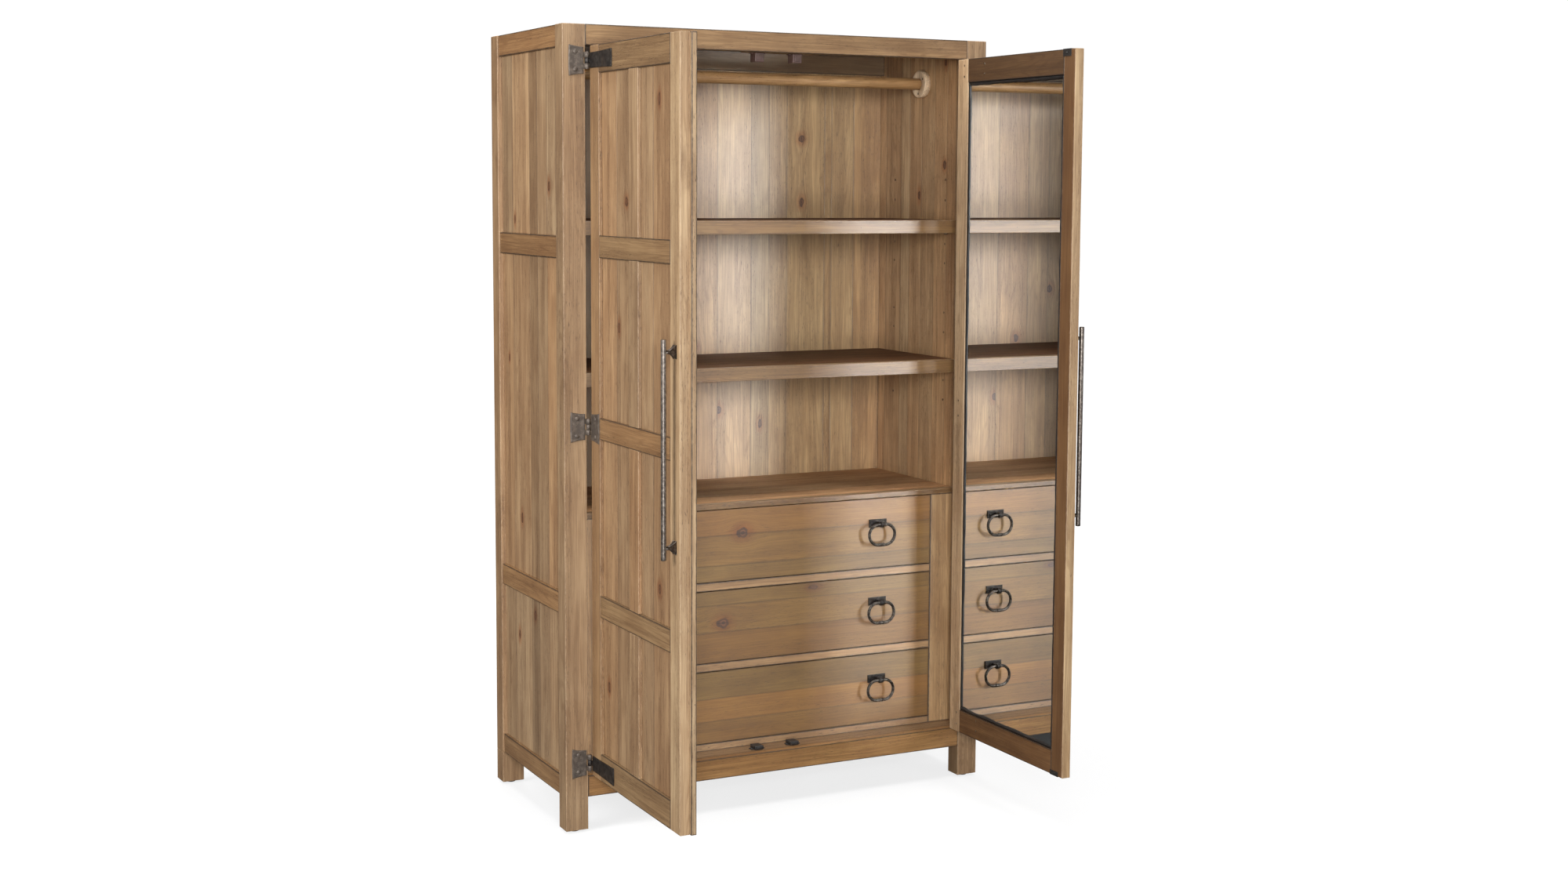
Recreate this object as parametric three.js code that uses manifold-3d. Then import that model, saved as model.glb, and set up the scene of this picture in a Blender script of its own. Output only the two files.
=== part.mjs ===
// A two-door armoire with a hanging rod, two shelves and a chest of three drawers, standing with its
// doors open at a right angle. Millimetres, +Z up, doors towards -Y. The origin is on the floor, in the
// middle of the overall box.
//
// Pieces are laid out in case coordinates: x from the case's left side, y from the front plane into the
// depth, z from the floor. toPart() carries a finished piece to the part's own frame. What comes in pairs
// is built for the left side and mirrored for the right.

import * as THREE from 'three';
import { mergeVertices } from 'three/addons/utils/BufferGeometryUtils.js';
import Module from 'manifold-3d';

const wasm = await Module();
wasm.setup();

// Case
const WIDTH = 1220;
const DEPTH = 536;
const HEIGHT = 2032;
const POST_WIDTH = 60;
const POST_DEPTH = 50;
const GLIDE_RADIUS = 13;
const GLIDE_HEIGHT = 6;
const CLEARANCE_UNDER_CASE = 90;
const RAIL_THICKNESS = 26;
const TOP_RAIL_HEIGHT = 51;
const LEDGE_HEIGHT = 144;
const BOTTOM_BOARD_THICKNESS = 18;
const TOP_PANEL_THICKNESS = 16;

// Sides and back
const SIDE_RAIL_INSET = 4;
const SIDE_FIELD_INSET = 12;
const SIDE_LINING_START = 24;
const SIDE_INNER_FACE = 32;
const SIDE_RAIL_HEIGHT = 55;
const SIDE_BOTTOM_RAIL_HEIGHT = 52;
const SIDE_RAIL_CENTRES = [587, 1485];
const BACK_INNER_FACE = 520;
const BACK_OUTER_FACE = 530;
const CLEAT_THICKNESS = 20;
const CLEAT_BOTTOM = 1962;

// Shelves, chest of drawers and rod
const FRONT_RECESS = 79;
const SHELF_THICKNESS = 36;
const SHELF_TOPS = { upper: 1549, middle: 1164 };
const DECK_TOP = 805;
const DECK_THICKNESS = 14;
const FRAME_THICKNESS = 22;
const FRAME_STILE_INNER_FACE = 110;
const FRAME_RAIL_HEIGHT = 22;
const DRAWER_OPENING_HEIGHT = 194.5;
const DRAWER_COUNT = 3;
const RUNNER_INNER_FACE = 150;
const ROD_RADIUS = 16;
const ROD_DEPTH = 275;
const ROD_HEIGHT = 1928;
const ROD_CLEARANCE = 1;
const CUP_RADIUS = 38;
const CUP_THICKNESS = 18;
const CUP_FLOOR = 5;

// Drawers and their ring pulls
const DRAWER_GAP = 2;
const DRAWER_FRONT_THICKNESS = 20;
const DRAWER_BOX_SIDE_GAP = 13;
const DRAWER_BOX_DEPTH = 400;
const DRAWER_BOX_HEIGHT = 160;
const DRAWER_BOX_LIFT = 1.5;
const DRAWER_WALL = 12;
const DRAWER_BOTTOM = 10;
const RING_FROM_MIDDLE = 331;
const RING_WIRE_RADIUS = 4;
const RING_BEND_RADIUS = 28;
const RING_BEND_STEPS = 12;
const RING_SIDES = 10;
const RING_STRAIGHT = 23;
const RING_STAND_OFF = 27;
const BRACKET_WIDTH = 54;
const BRACKET_HEIGHT = 22;
const BRACKET_PLATE = 4;
const BRACKET_RISE = 3;
const EYE_LENGTH = 12;
const EYE_RADIUS = 8;
const EYE_BORE = 4.7;

// Doors, in door coordinates: u from the hinge edge to the lead edge, o from the outer face to the inner face
const PIN_FROM_SIDE = 61.5;
const PIN_STAND_OFF = 7.5;
const PIN_TO_EDGE = 1.5;
const DOOR_WIDTH = 546;
const DOOR_THICKNESS = 24;
const DOOR_BOTTOM = 147;
const DOOR_TOP = 1979;
const STILE_WIDTH = 56;
const FIELD_HEIGHTS = [[216, 565], [620, 1012], [1066, 1461], [1516, 1911]];
const LATTICE_THICKNESS = 9;
const RABBET = 6;
const PANEL_THICKNESS = 6;
const MIRROR_THICKNESS = 4;
const ASTRAGAL_START = 520;
const ASTRAGAL_END = 554;
const ASTRAGAL_THICKNESS = 13.75;

// Ironwork on the doors
const HINGE_HEIGHTS = { bottom: 180, middle: 1038, top: 1943 };
const LEAF_THICKNESS = 3;
const LEAF_HEIGHT = 76;
const LEAF_WAIST = 0.86;
const LEAF_CURVE_POINT = 0.6;
const LEAF_BOW = 3;
const POST_LEAF_START = 17;
const POST_LEAF_END = 54.5;
const STRAP_LENGTH = 143;
const STRAP_HEIGHT = 44;
const SHORT_LEAF_LENGTH = 53;
const STRAP_START = 1;
const KNUCKLE_RADIUS = 5.5;
const KNUCKLE_BORE = 3.1;
const PIN_RADIUS = 2.5;
const KNUCKLE_HEIGHT = 41;
const KNUCKLE_SPLITS = [-7, 7];
const KNUCKLE_PLAY = 0.5;
const PULL_FROM_HINGE_EDGE = 518;
const PULL_MIDDLE_HEIGHT = 1040;
const PULL_LENGTH = 505;
const PULL_POST_SPACING = 448;
const PULL_RADIUS = 6.5;
const PULL_STAND_OFF = 29;
const FOOT_HEIGHT = 33;
const FOOT_WIDTH = 19;
const FOOT_EDGE = 1.5;
const FLARE_BEND = 12;
const FLARE_LENGTH = 18;
const NECK = 8.4;

// Gaps between pieces that lie against each other, and how far a box that joins or cuts reaches past the
// face it meets
const SEAM = 0.25;
const PLATE_GAP = 0.3;
const REACH = 1;

const DOOR_OUTER_FACE = PIN_FROM_SIDE + PIN_STAND_OFF;
const DOOR_HINGE_EDGE = -(PIN_STAND_OFF + PIN_TO_EDGE);
const ORIGIN_X = WIDTH / 2;
const ORIGIN_Y = (DEPTH + DOOR_HINGE_EDGE - ASTRAGAL_END) / 2;

const wood = new THREE.MeshStandardMaterial({ color: 0xa9845c, roughness: 0.62, metalness: 0 });
const innerWood = new THREE.MeshStandardMaterial({ color: 0xb59a78, roughness: 0.68, metalness: 0 });
const iron = new THREE.MeshStandardMaterial({ color: 0x3a3836, roughness: 0.5, metalness: 0.8 });
const steel = new THREE.MeshStandardMaterial({ color: 0x6f6c68, roughness: 0.35, metalness: 0.9 });
const silvered = new THREE.MeshStandardMaterial({ color: 0xdfe3e4, roughness: 0.03, metalness: 1 });
const plastic = new THREE.MeshStandardMaterial({ color: 0x231f1d, roughness: 0.5, metalness: 0 });

const armoire = new THREE.Group();

// Geometry helpers

function box([x0, x1], [y0, y1], [z0, z1]) {
  const geometry = new THREE.BoxGeometry(x1 - x0, y1 - y0, z1 - z0);
  return geometry.translate((x0 + x1) / 2, (y0 + y1) / 2, (z0 + z1) / 2);
}

// A box on the left door, from its extents in door coordinates
function doorBox([u0, u1], [o0, o1], heights) {
  return box(
    [DOOR_OUTER_FACE + o0, DOOR_OUTER_FACE + o1],
    [DOOR_HINGE_EDGE - u1, DOOR_HINGE_EDGE - u0],
    heights,
  );
}

function cylinder(radius, length, axis, [x, y, z], sides = 20) {
  const geometry = new THREE.CylinderGeometry(radius, radius, length, sides);
  if (axis === 'x') geometry.rotateZ(Math.PI / 2);
  if (axis === 'z') geometry.rotateX(Math.PI / 2);
  return geometry.translate(x, y, z);
}

function toSolid(geometry) {
  const bare = geometry.clone();
  bare.deleteAttribute('normal');
  bare.deleteAttribute('uv');
  const merged = mergeVertices(bare);
  return new wasm.Manifold(new wasm.Mesh({
    numProp: 3,
    vertProperties: new Float32Array(merged.attributes.position.array),
    triVerts: new Uint32Array(merged.index.array),
  }));
}

function toGeometry(solid) {
  const mesh = solid.getMesh();
  const geometry = new THREE.BufferGeometry();
  geometry.setAttribute('position', new THREE.BufferAttribute(mesh.vertProperties, 3));
  geometry.setIndex(new THREE.BufferAttribute(mesh.triVerts, 1));
  geometry.computeVertexNormals();
  return geometry;
}

// The solid that two pieces have in common
function common(one, other) {
  return toGeometry(toSolid(one).intersect(toSolid(other)));
}

// One solid from the pieces in `joined`, less those in `removed`
function shape(joined, removed = []) {
  const whole = joined.map(toSolid).reduce((sum, next) => sum.add(next));
  return toGeometry(removed.map(toSolid).reduce((rest, next) => rest.subtract(next), whole));
}

function mirrored(geometry) {
  const copy = geometry.index ? geometry.toNonIndexed() : geometry.clone();
  copy.scale(-1, 1, 1);
  const positions = copy.attributes.position;
  for (let i = 0; i < positions.count; i += 3) {
    const [x, y, z] = [positions.getX(i), positions.getY(i), positions.getZ(i)];
    positions.setXYZ(i, positions.getX(i + 2), positions.getY(i + 2), positions.getZ(i + 2));
    positions.setXYZ(i + 2, x, y, z);
  }
  copy.computeVertexNormals();
  return copy;
}

function toPart(geometry) {
  return geometry.clone().translate(-ORIGIN_X, -ORIGIN_Y, 0);
}

function add(name, geometry, material) {
  const mesh = new THREE.Mesh(geometry, material);
  mesh.name = name;
  armoire.add(mesh);
}

function addSingle(name, geometry, material) {
  add(name, toPart(geometry), material);
}

function addPair(name, geometry, material) {
  const left = toPart(geometry);
  add(`${name}_left`, left, material);
  add(`${name}_right`, mirrored(left), material);
}

// Corner posts. The back ones are rabbeted behind the side lining and the back planks.

function buildPosts() {
  const postHeights = [GLIDE_HEIGHT, HEIGHT];
  addPair('post_front', box([0, POST_WIDTH], [0, POST_DEPTH], postHeights), wood);

  const whole = box([0, POST_WIDTH], [DEPTH - POST_DEPTH, DEPTH], postHeights);
  const rabbet = box(
    [SIDE_LINING_START, POST_WIDTH + REACH],
    [DEPTH - POST_DEPTH - REACH, BACK_OUTER_FACE],
    [CLEARANCE_UNDER_CASE, HEIGHT + REACH],
  );
  addPair('post_back', shape([whole], [rabbet]), wood);

  const footCentres = { front: POST_DEPTH / 2, back: DEPTH - POST_DEPTH / 2 };
  for (const [end, y] of Object.entries(footCentres)) {
    const foot = cylinder(GLIDE_RADIUS, GLIDE_HEIGHT, 'z', [POST_WIDTH / 2, y, GLIDE_HEIGHT / 2], 24);
    addPair(`glide_${end}`, foot, plastic);
  }
}

// Side panels: a plank lining, recessed plank fields and four rails, glued up as one panel between the posts

function buildSides() {
  const betweenPosts = [POST_DEPTH, DEPTH - POST_DEPTH];
  const heights = [CLEARANCE_UNDER_CASE, HEIGHT];
  const lining = box([SIDE_LINING_START - REACH, SIDE_INNER_FACE], [POST_DEPTH, DEPTH - POST_DEPTH], heights);
  const liningTail = box([SIDE_LINING_START, SIDE_INNER_FACE], [POST_DEPTH, BACK_INNER_FACE], heights);
  const fields = box([SIDE_FIELD_INSET, SIDE_LINING_START], betweenPosts, heights);
  const half = SIDE_RAIL_HEIGHT / 2;
  const railHeights = [
    [CLEARANCE_UNDER_CASE, CLEARANCE_UNDER_CASE + SIDE_BOTTOM_RAIL_HEIGHT],
    ...SIDE_RAIL_CENTRES.map((z) => [z - half, z + half]),
    [HEIGHT - SIDE_RAIL_HEIGHT, HEIGHT],
  ];
  const rails = railHeights.map((z) => box([SIDE_RAIL_INSET, SIDE_LINING_START], betweenPosts, z));
  addPair('side_panel', shape([fields, lining, liningTail, ...rails]), wood);
}

function buildCaseBoards() {
  const betweenPosts = [POST_WIDTH, WIDTH - POST_WIDTH];
  const betweenSides = [SIDE_INNER_FACE, WIDTH - SIDE_INNER_FACE];
  const insideDepth = [POST_DEPTH, BACK_INNER_FACE];
  const railDepth = [0, RAIL_THICKNESS];
  addSingle('top_rail', box(betweenPosts, railDepth, [HEIGHT - TOP_RAIL_HEIGHT, HEIGHT]), wood);
  addSingle('apron', box(betweenPosts, railDepth, [CLEARANCE_UNDER_CASE, LEDGE_HEIGHT]), wood);

  const boardHeights = [LEDGE_HEIGHT - BOTTOM_BOARD_THICKNESS, LEDGE_HEIGHT];
  const ledge = box(betweenPosts, [RAIL_THICKNESS, POST_DEPTH + REACH], boardHeights);
  addSingle('bottom_board', shape([box(betweenSides, insideDepth, boardHeights), ledge]), innerWood);

  const topHeights = [HEIGHT - TOP_PANEL_THICKNESS, HEIGHT];
  const topFront = box(betweenPosts, [RAIL_THICKNESS, POST_DEPTH + REACH], topHeights);
  addSingle('top_panel', shape([box(betweenSides, insideDepth, topHeights), topFront]), wood);

  const planks = box(betweenSides, [BACK_INNER_FACE, BACK_OUTER_FACE], [CLEARANCE_UNDER_CASE, HEIGHT]);
  const cleat = box(
    betweenSides,
    [BACK_INNER_FACE - CLEAT_THICKNESS, BACK_INNER_FACE + REACH],
    [CLEAT_BOTTOM, HEIGHT - TOP_PANEL_THICKNESS],
  );
  addSingle('back_panel', shape([planks, cleat]), innerWood);
}

function buildShelves() {
  const betweenSides = [SIDE_INNER_FACE, WIDTH - SIDE_INNER_FACE];
  const depth = [FRONT_RECESS, BACK_INNER_FACE];
  for (const [place, top] of Object.entries(SHELF_TOPS)) {
    addSingle(`${place}_shelf`, box(betweenSides, depth, [top - SHELF_THICKNESS, top]), innerWood);
  }
  addSingle('drawer_deck', box(betweenSides, depth, [DECK_TOP - DECK_THICKNESS, DECK_TOP]), innerWood);
}

// Lower and upper edge of a drawer opening, the first at the top
function openingHeights(index) {
  const top = DECK_TOP - DECK_THICKNESS - index * (DRAWER_OPENING_HEIGHT + FRAME_RAIL_HEIGHT);
  return [top - DRAWER_OPENING_HEIGHT, top];
}

// Face frame of the chest, with the runners that carry the drawers
function buildDrawerFrame() {
  const frameDepth = [FRONT_RECESS, FRONT_RECESS + FRAME_THICKNESS];
  const chestTop = DECK_TOP - DECK_THICKNESS;
  const face = box([SIDE_INNER_FACE, WIDTH - SIDE_INNER_FACE], frameDepth, [LEDGE_HEIGHT, chestTop]);
  const openings = [];
  const runners = [];
  for (let i = 0; i < DRAWER_COUNT; i += 1) {
    const [low, high] = openingHeights(i);
    const isTop = i === 0;
    openings.push(box(
      [FRAME_STILE_INNER_FACE, WIDTH - FRAME_STILE_INNER_FACE],
      [FRONT_RECESS - REACH, FRONT_RECESS + FRAME_THICKNESS + REACH],
      [low, isTop ? high + REACH : high],
    ));
    const runnerDepth = [FRONT_RECESS + FRAME_THICKNESS - REACH, BACK_INNER_FACE];
    const runnerHeights = [Math.max(low - FRAME_RAIL_HEIGHT, LEDGE_HEIGHT), low];
    runners.push(box([SIDE_INNER_FACE, RUNNER_INNER_FACE], runnerDepth, runnerHeights));
    runners.push(box([WIDTH - RUNNER_INNER_FACE, WIDTH - SIDE_INNER_FACE], runnerDepth, runnerHeights));
  }
  addSingle('drawer_frame', shape([shape([face], openings), ...runners]), innerWood);
}

function buildRod() {
  const inset = SIDE_INNER_FACE + CUP_FLOOR + PLATE_GAP;
  const length = WIDTH - 2 * inset;
  addSingle('hanging_rod', cylinder(ROD_RADIUS, length, 'x', [WIDTH / 2, ROD_DEPTH, ROD_HEIGHT], 24), innerWood);

  const middle = SIDE_INNER_FACE + SEAM + CUP_THICKNESS / 2;
  const disc = cylinder(CUP_RADIUS, CUP_THICKNESS, 'x', [middle, ROD_DEPTH, ROD_HEIGHT], 32);
  const boreRadius = ROD_RADIUS + ROD_CLEARANCE;
  const bore = cylinder(boreRadius, CUP_THICKNESS, 'x', [middle + CUP_FLOOR, ROD_DEPTH, ROD_HEIGHT], 24);
  addPair('rod_cup', shape([disc], [bore]), innerWood);
}

// Drawer fronts and boxes. A box is an open tray fixed behind its front.
function buildDrawers() {
  const frontWidth = [FRAME_STILE_INNER_FACE + DRAWER_GAP, WIDTH - FRAME_STILE_INNER_FACE - DRAWER_GAP];
  const boxStart = FRAME_STILE_INNER_FACE + DRAWER_BOX_SIDE_GAP;
  const boxWidth = [boxStart, WIDTH - boxStart];
  const boxFront = FRONT_RECESS + DRAWER_FRONT_THICKNESS;
  for (let i = 0; i < DRAWER_COUNT; i += 1) {
    const [low, high] = openingHeights(i);
    const frontHeights = [low + DRAWER_GAP, high - DRAWER_GAP];
    addSingle(`drawer_front_${i + 1}`, box(frontWidth, [FRONT_RECESS, boxFront], frontHeights), innerWood);

    const floor = low + DRAWER_BOX_LIFT;
    const rim = floor + DRAWER_BOX_HEIGHT;
    const outside = box(boxWidth, [boxFront, boxFront + DRAWER_BOX_DEPTH], [floor, rim]);
    const inside = box(
      [boxStart + DRAWER_WALL, WIDTH - boxStart - DRAWER_WALL],
      [boxFront + DRAWER_WALL, boxFront + DRAWER_BOX_DEPTH - DRAWER_WALL],
      [floor + DRAWER_BOTTOM, rim + REACH],
    );
    addSingle(`drawer_box_${i + 1}`, shape([outside], [inside]), innerWood);
  }
}

// Centre line of a ring pull, hanging from the pivot at its origin: two half circles joined by straight runs
function ringCentreLine() {
  const points = [];
  for (const side of [1, -1]) {
    for (let i = 0; i <= RING_BEND_STEPS; i += 1) {
      const angle = side * (Math.PI / 2) - (Math.PI * i) / RING_BEND_STEPS;
      const x = side * (RING_STRAIGHT / 2) + RING_BEND_RADIUS * Math.cos(angle);
      points.push(new THREE.Vector3(x, 0, RING_BEND_RADIUS * (Math.sin(angle) - 1)));
    }
  }
  return points;
}

// A closed tube around a closed flat loop of points, with its seams mitred
function closedTube(points, radius, sides) {
  const positions = [];
  const indices = [];
  const count = points.length;
  const across = new THREE.Vector3(0, 1, 0);
  points.forEach((point, i) => {
    const before = points[(i + count - 1) % count];
    const after = points[(i + 1) % count];
    const inward = new THREE.Vector3().subVectors(after, before).normalize().cross(across);
    for (let j = 0; j < sides; j += 1) {
      const angle = (2 * Math.PI * j) / sides;
      const place = point.clone()
        .addScaledVector(inward, radius * Math.cos(angle))
        .addScaledVector(across, radius * Math.sin(angle));
      positions.push(place.x, place.y, place.z);
    }
  });
  for (let i = 0; i < count; i += 1) {
    for (let j = 0; j < sides; j += 1) {
      const here = i * sides;
      const there = ((i + 1) % count) * sides;
      const next = (j + 1) % sides;
      indices.push(here + j, there + j, there + next, here + j, there + next, here + next);
    }
  }
  const geometry = new THREE.BufferGeometry();
  geometry.setAttribute('position', new THREE.Float32BufferAttribute(positions, 3));
  geometry.setIndex(indices);
  geometry.computeVertexNormals();
  return geometry;
}

// Ring pulls, two on each drawer: a back plate with an arm and an eye, and the ring that hangs through the eye
function buildRingPulls() {
  const pivotY = FRONT_RECESS - RING_STAND_OFF;
  const plateBack = FRONT_RECESS - PLATE_GAP;
  const x = WIDTH / 2 - RING_FROM_MIDDLE;
  for (let i = 0; i < DRAWER_COUNT; i += 1) {
    const [low, high] = openingHeights(i);
    const pivotZ = (low + high) / 2 + RING_BEND_RADIUS;
    const plateTop = pivotZ + EYE_RADIUS + BRACKET_RISE;
    const plate = box(
      [x - BRACKET_WIDTH / 2, x + BRACKET_WIDTH / 2],
      [plateBack - BRACKET_PLATE, plateBack],
      [plateTop - BRACKET_HEIGHT, plateTop],
    );
    const arm = box(
      [x - EYE_LENGTH / 2, x + EYE_LENGTH / 2],
      [pivotY, plateBack - BRACKET_PLATE + REACH],
      [pivotZ - EYE_BORE, pivotZ + EYE_BORE],
    );
    const eye = cylinder(EYE_RADIUS, EYE_LENGTH, 'x', [x, pivotY, pivotZ], 20);
    const bore = cylinder(EYE_BORE, EYE_LENGTH + 2 * REACH, 'x', [x, pivotY, pivotZ], 20);
    addPair(`ring_bracket_${i + 1}`, shape([plate, arm, eye], [bore]), iron);

    const ring = closedTube(ringCentreLine(), RING_WIRE_RADIUS, RING_SIDES).translate(x, pivotY, pivotZ);
    addPair(`ring_${i + 1}`, ring, steel);
  }
}

// Doors: a frame with a lattice over one planked panel. The lattice is cut from the frame's outer thickness.

function buildDoorFrames() {
  const slab = doorBox([0, DOOR_WIDTH], [0, DOOR_THICKNESS], [DOOR_BOTTOM, DOOR_TOP]);
  const fieldsBottom = FIELD_HEIGHTS[0][0];
  const fieldsTop = FIELD_HEIGHTS[FIELD_HEIGHTS.length - 1][1];
  const rabbet = doorBox(
    [STILE_WIDTH - RABBET, DOOR_WIDTH - STILE_WIDTH + RABBET],
    [LATTICE_THICKNESS, DOOR_THICKNESS + REACH],
    [fieldsBottom - RABBET, fieldsTop + RABBET],
  );
  const columns = [
    [STILE_WIDTH, (DOOR_WIDTH - STILE_WIDTH) / 2],
    [(DOOR_WIDTH + STILE_WIDTH) / 2, DOOR_WIDTH - STILE_WIDTH],
  ];
  const windows = [];
  for (const column of columns) {
    for (const heights of FIELD_HEIGHTS) {
      windows.push(doorBox(column, [-REACH, LATTICE_THICKNESS + REACH], heights));
    }
  }
  addPair('door_frame', shape([slab], [rabbet, ...windows]), wood);

  const inset = STILE_WIDTH - RABBET + 2 * SEAM;
  const insetWidth = [inset, DOOR_WIDTH - inset];
  const insetHeights = [fieldsBottom - RABBET + 2 * SEAM, fieldsTop + RABBET - 2 * SEAM];
  const panelStart = LATTICE_THICKNESS + SEAM;
  const panelEnd = panelStart + PANEL_THICKNESS;
  addPair('door_panel', doorBox(insetWidth, [panelStart, panelEnd], insetHeights), wood);

  const mirrorStart = panelEnd + SEAM;
  const mirror = doorBox(insetWidth, [mirrorStart, mirrorStart + MIRROR_THICKNESS], insetHeights);
  add('mirror', mirrored(toPart(mirror)), silvered);

  const astragalStart = DOOR_THICKNESS + SEAM;
  const astragal = doorBox(
    [ASTRAGAL_START, ASTRAGAL_END],
    [astragalStart, astragalStart + ASTRAGAL_THICKNESS],
    [DOOR_BOTTOM, DOOR_TOP],
  );
  addSingle('astragal', astragal, wood);
}

// Outline of a hinge leaf from x = start to x = end, flaring from its waist to its far end
function leafOutline(start, end, height) {
  const far = height / 2;
  const near = far * LEAF_WAIST;
  const reach = end - start;
  const outline = new THREE.Shape();
  outline.moveTo(start, -near);
  outline.quadraticCurveTo(start + reach * LEAF_CURVE_POINT, -near, end, -far);
  outline.quadraticCurveTo(end + Math.sign(reach) * LEAF_BOW, 0, end, far);
  outline.quadraticCurveTo(start + reach * LEAF_CURVE_POINT, near, start, near);
  outline.closePath();
  return outline;
}

// A leaf flat against the front plane: outline in x and z, its back at PLATE_GAP in front of the plane
function leafPlate(outline, z) {
  const plate = new THREE.ExtrudeGeometry(outline, {
    depth: LEAF_THICKNESS,
    bevelEnabled: false,
    curveSegments: 6,
  });
  return plate.rotateX(Math.PI / 2).translate(0, -PLATE_GAP, z);
}

// Three hinges a side. They are drawn with the door shut; its leaf is then turned a right angle about the pin.
function buildHinges() {
  const pin = [PIN_FROM_SIDE, -PIN_STAND_OFF];
  const half = KNUCKLE_HEIGHT / 2;
  const [splitLow, splitHigh] = KNUCKLE_SPLITS;
  const tongueDepth = [-PLATE_GAP - LEAF_THICKNESS, -PLATE_GAP];
  const play = KNUCKLE_PLAY / 2;
  for (const [place, z] of Object.entries(HINGE_HEIGHTS)) {
    const postParts = [leafPlate(leafOutline(POST_LEAF_END, POST_LEAF_START, LEAF_HEIGHT), z)];
    for (const [low, high] of [[-half, splitLow - play], [splitHigh + play, half]]) {
      const middle = z + (low + high) / 2;
      postParts.push(cylinder(KNUCKLE_RADIUS, high - low, 'z', [...pin, middle]));
      postParts.push(box([POST_LEAF_END - REACH, PIN_FROM_SIDE], tongueDepth, [z + low, z + high]));
    }
    postParts.push(cylinder(PIN_RADIUS, KNUCKLE_HEIGHT, 'z', [...pin, z], 16));
    addPair(`hinge_post_${place}`, shape(postParts), iron);

    const isMiddle = place === 'middle';
    const length = isMiddle ? SHORT_LEAF_LENGTH : STRAP_LENGTH;
    const height = isMiddle ? LEAF_HEIGHT : STRAP_HEIGHT;
    const start = PIN_FROM_SIDE + KNUCKLE_RADIUS + STRAP_START;
    const middleKnuckle = [splitLow + play, splitHigh - play];
    const knuckle = cylinder(KNUCKLE_RADIUS, middleKnuckle[1] - middleKnuckle[0], 'z', [...pin, z]);
    const tongue = box([PIN_FROM_SIDE, start + REACH], tongueDepth, middleKnuckle.map((edge) => z + edge));
    const strap = leafPlate(leafOutline(start, PIN_FROM_SIDE + PIN_TO_EDGE + length, height), z);
    const bore = cylinder(KNUCKLE_BORE, KNUCKLE_HEIGHT, 'z', [...pin, z], 16);
    const leaf = shape([knuckle, tongue, strap], [bore]);
    leaf.translate(-pin[0], -pin[1], 0).rotateZ(-Math.PI / 2).translate(pin[0], pin[1], 0);
    addPair(`hinge_door_${place}`, leaf, iron);
  }
}

// Outline of a pull's post, from the door at 0 along its axis: a foot that narrows in a curve to a square neck
function postOutline(footWidth, length) {
  const foot = footWidth / 2;
  const neck = NECK / 2;
  const outline = new THREE.Shape();
  outline.moveTo(0, -foot);
  outline.lineTo(FOOT_EDGE, -foot);
  outline.quadraticCurveTo(FLARE_BEND, -neck, FLARE_LENGTH, -neck);
  outline.lineTo(length, -neck);
  outline.lineTo(length, neck);
  outline.lineTo(FLARE_LENGTH, neck);
  outline.quadraticCurveTo(FLARE_BEND, neck, FOOT_EDGE, foot);
  outline.lineTo(0, foot);
  outline.closePath();
  return outline;
}

// A post's outline drawn through its whole depth, standing out from the door towards -X
function postSide(footWidth, depth, length) {
  const side = new THREE.ExtrudeGeometry(postOutline(footWidth, length), {
    depth,
    bevelEnabled: false,
    curveSegments: 6,
  });
  return side.translate(0, 0, -depth / 2).rotateZ(Math.PI);
}

// Long bar pulls, each standing on two posts that flare towards the door
function buildPulls() {
  const face = DOOR_OUTER_FACE - PLATE_GAP;
  const axisX = DOOR_OUTER_FACE - PULL_STAND_OFF;
  const y = DOOR_HINGE_EDGE - PULL_FROM_HINGE_EDGE;
  const bar = cylinder(PULL_RADIUS, PULL_LENGTH, 'z', [axisX, y, PULL_MIDDLE_HEIGHT], 24);
  const length = face - axisX;
  const upright = postSide(FOOT_HEIGHT, FOOT_WIDTH, length).rotateX(Math.PI / 2);
  const level = postSide(FOOT_WIDTH, FOOT_HEIGHT, length);
  const post = common(upright, level);
  const posts = [-1, 1].map((end) => {
    const z = PULL_MIDDLE_HEIGHT + (end * PULL_POST_SPACING) / 2;
    return post.clone().translate(face, y, z);
  });
  addPair('pull', shape([bar, ...posts]), iron);
}

buildPosts();
buildSides();
buildCaseBoards();
buildShelves();
buildDrawerFrame();
buildRod();
buildDrawers();
buildRingPulls();
buildDoorFrames();
buildHinges();
buildPulls();

export default armoire;
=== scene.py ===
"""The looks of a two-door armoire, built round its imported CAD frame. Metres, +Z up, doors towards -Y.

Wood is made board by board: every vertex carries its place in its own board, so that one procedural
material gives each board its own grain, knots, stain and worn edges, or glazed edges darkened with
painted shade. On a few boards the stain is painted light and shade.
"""

import math
import random

import bmesh
import bpy
from mathutils import Matrix, Vector, noise


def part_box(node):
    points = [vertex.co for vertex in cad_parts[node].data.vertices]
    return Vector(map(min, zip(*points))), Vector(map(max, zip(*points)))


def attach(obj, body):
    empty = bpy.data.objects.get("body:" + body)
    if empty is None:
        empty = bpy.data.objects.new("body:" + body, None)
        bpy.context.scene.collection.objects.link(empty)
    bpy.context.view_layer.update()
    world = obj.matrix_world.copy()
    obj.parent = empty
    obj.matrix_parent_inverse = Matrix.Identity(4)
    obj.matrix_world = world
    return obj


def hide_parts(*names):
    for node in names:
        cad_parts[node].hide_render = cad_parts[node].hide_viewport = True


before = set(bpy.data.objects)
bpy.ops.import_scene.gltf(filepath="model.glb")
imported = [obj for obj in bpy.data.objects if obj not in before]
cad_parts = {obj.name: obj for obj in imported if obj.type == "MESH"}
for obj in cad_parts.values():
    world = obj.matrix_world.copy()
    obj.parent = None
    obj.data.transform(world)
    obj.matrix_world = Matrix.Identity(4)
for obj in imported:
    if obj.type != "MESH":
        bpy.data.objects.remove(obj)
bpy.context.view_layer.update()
random.seed(11)

MM = 0.001
X, Y, Z = 0, 1, 2
SIDES = {"left": -1, "right": 1}
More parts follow.
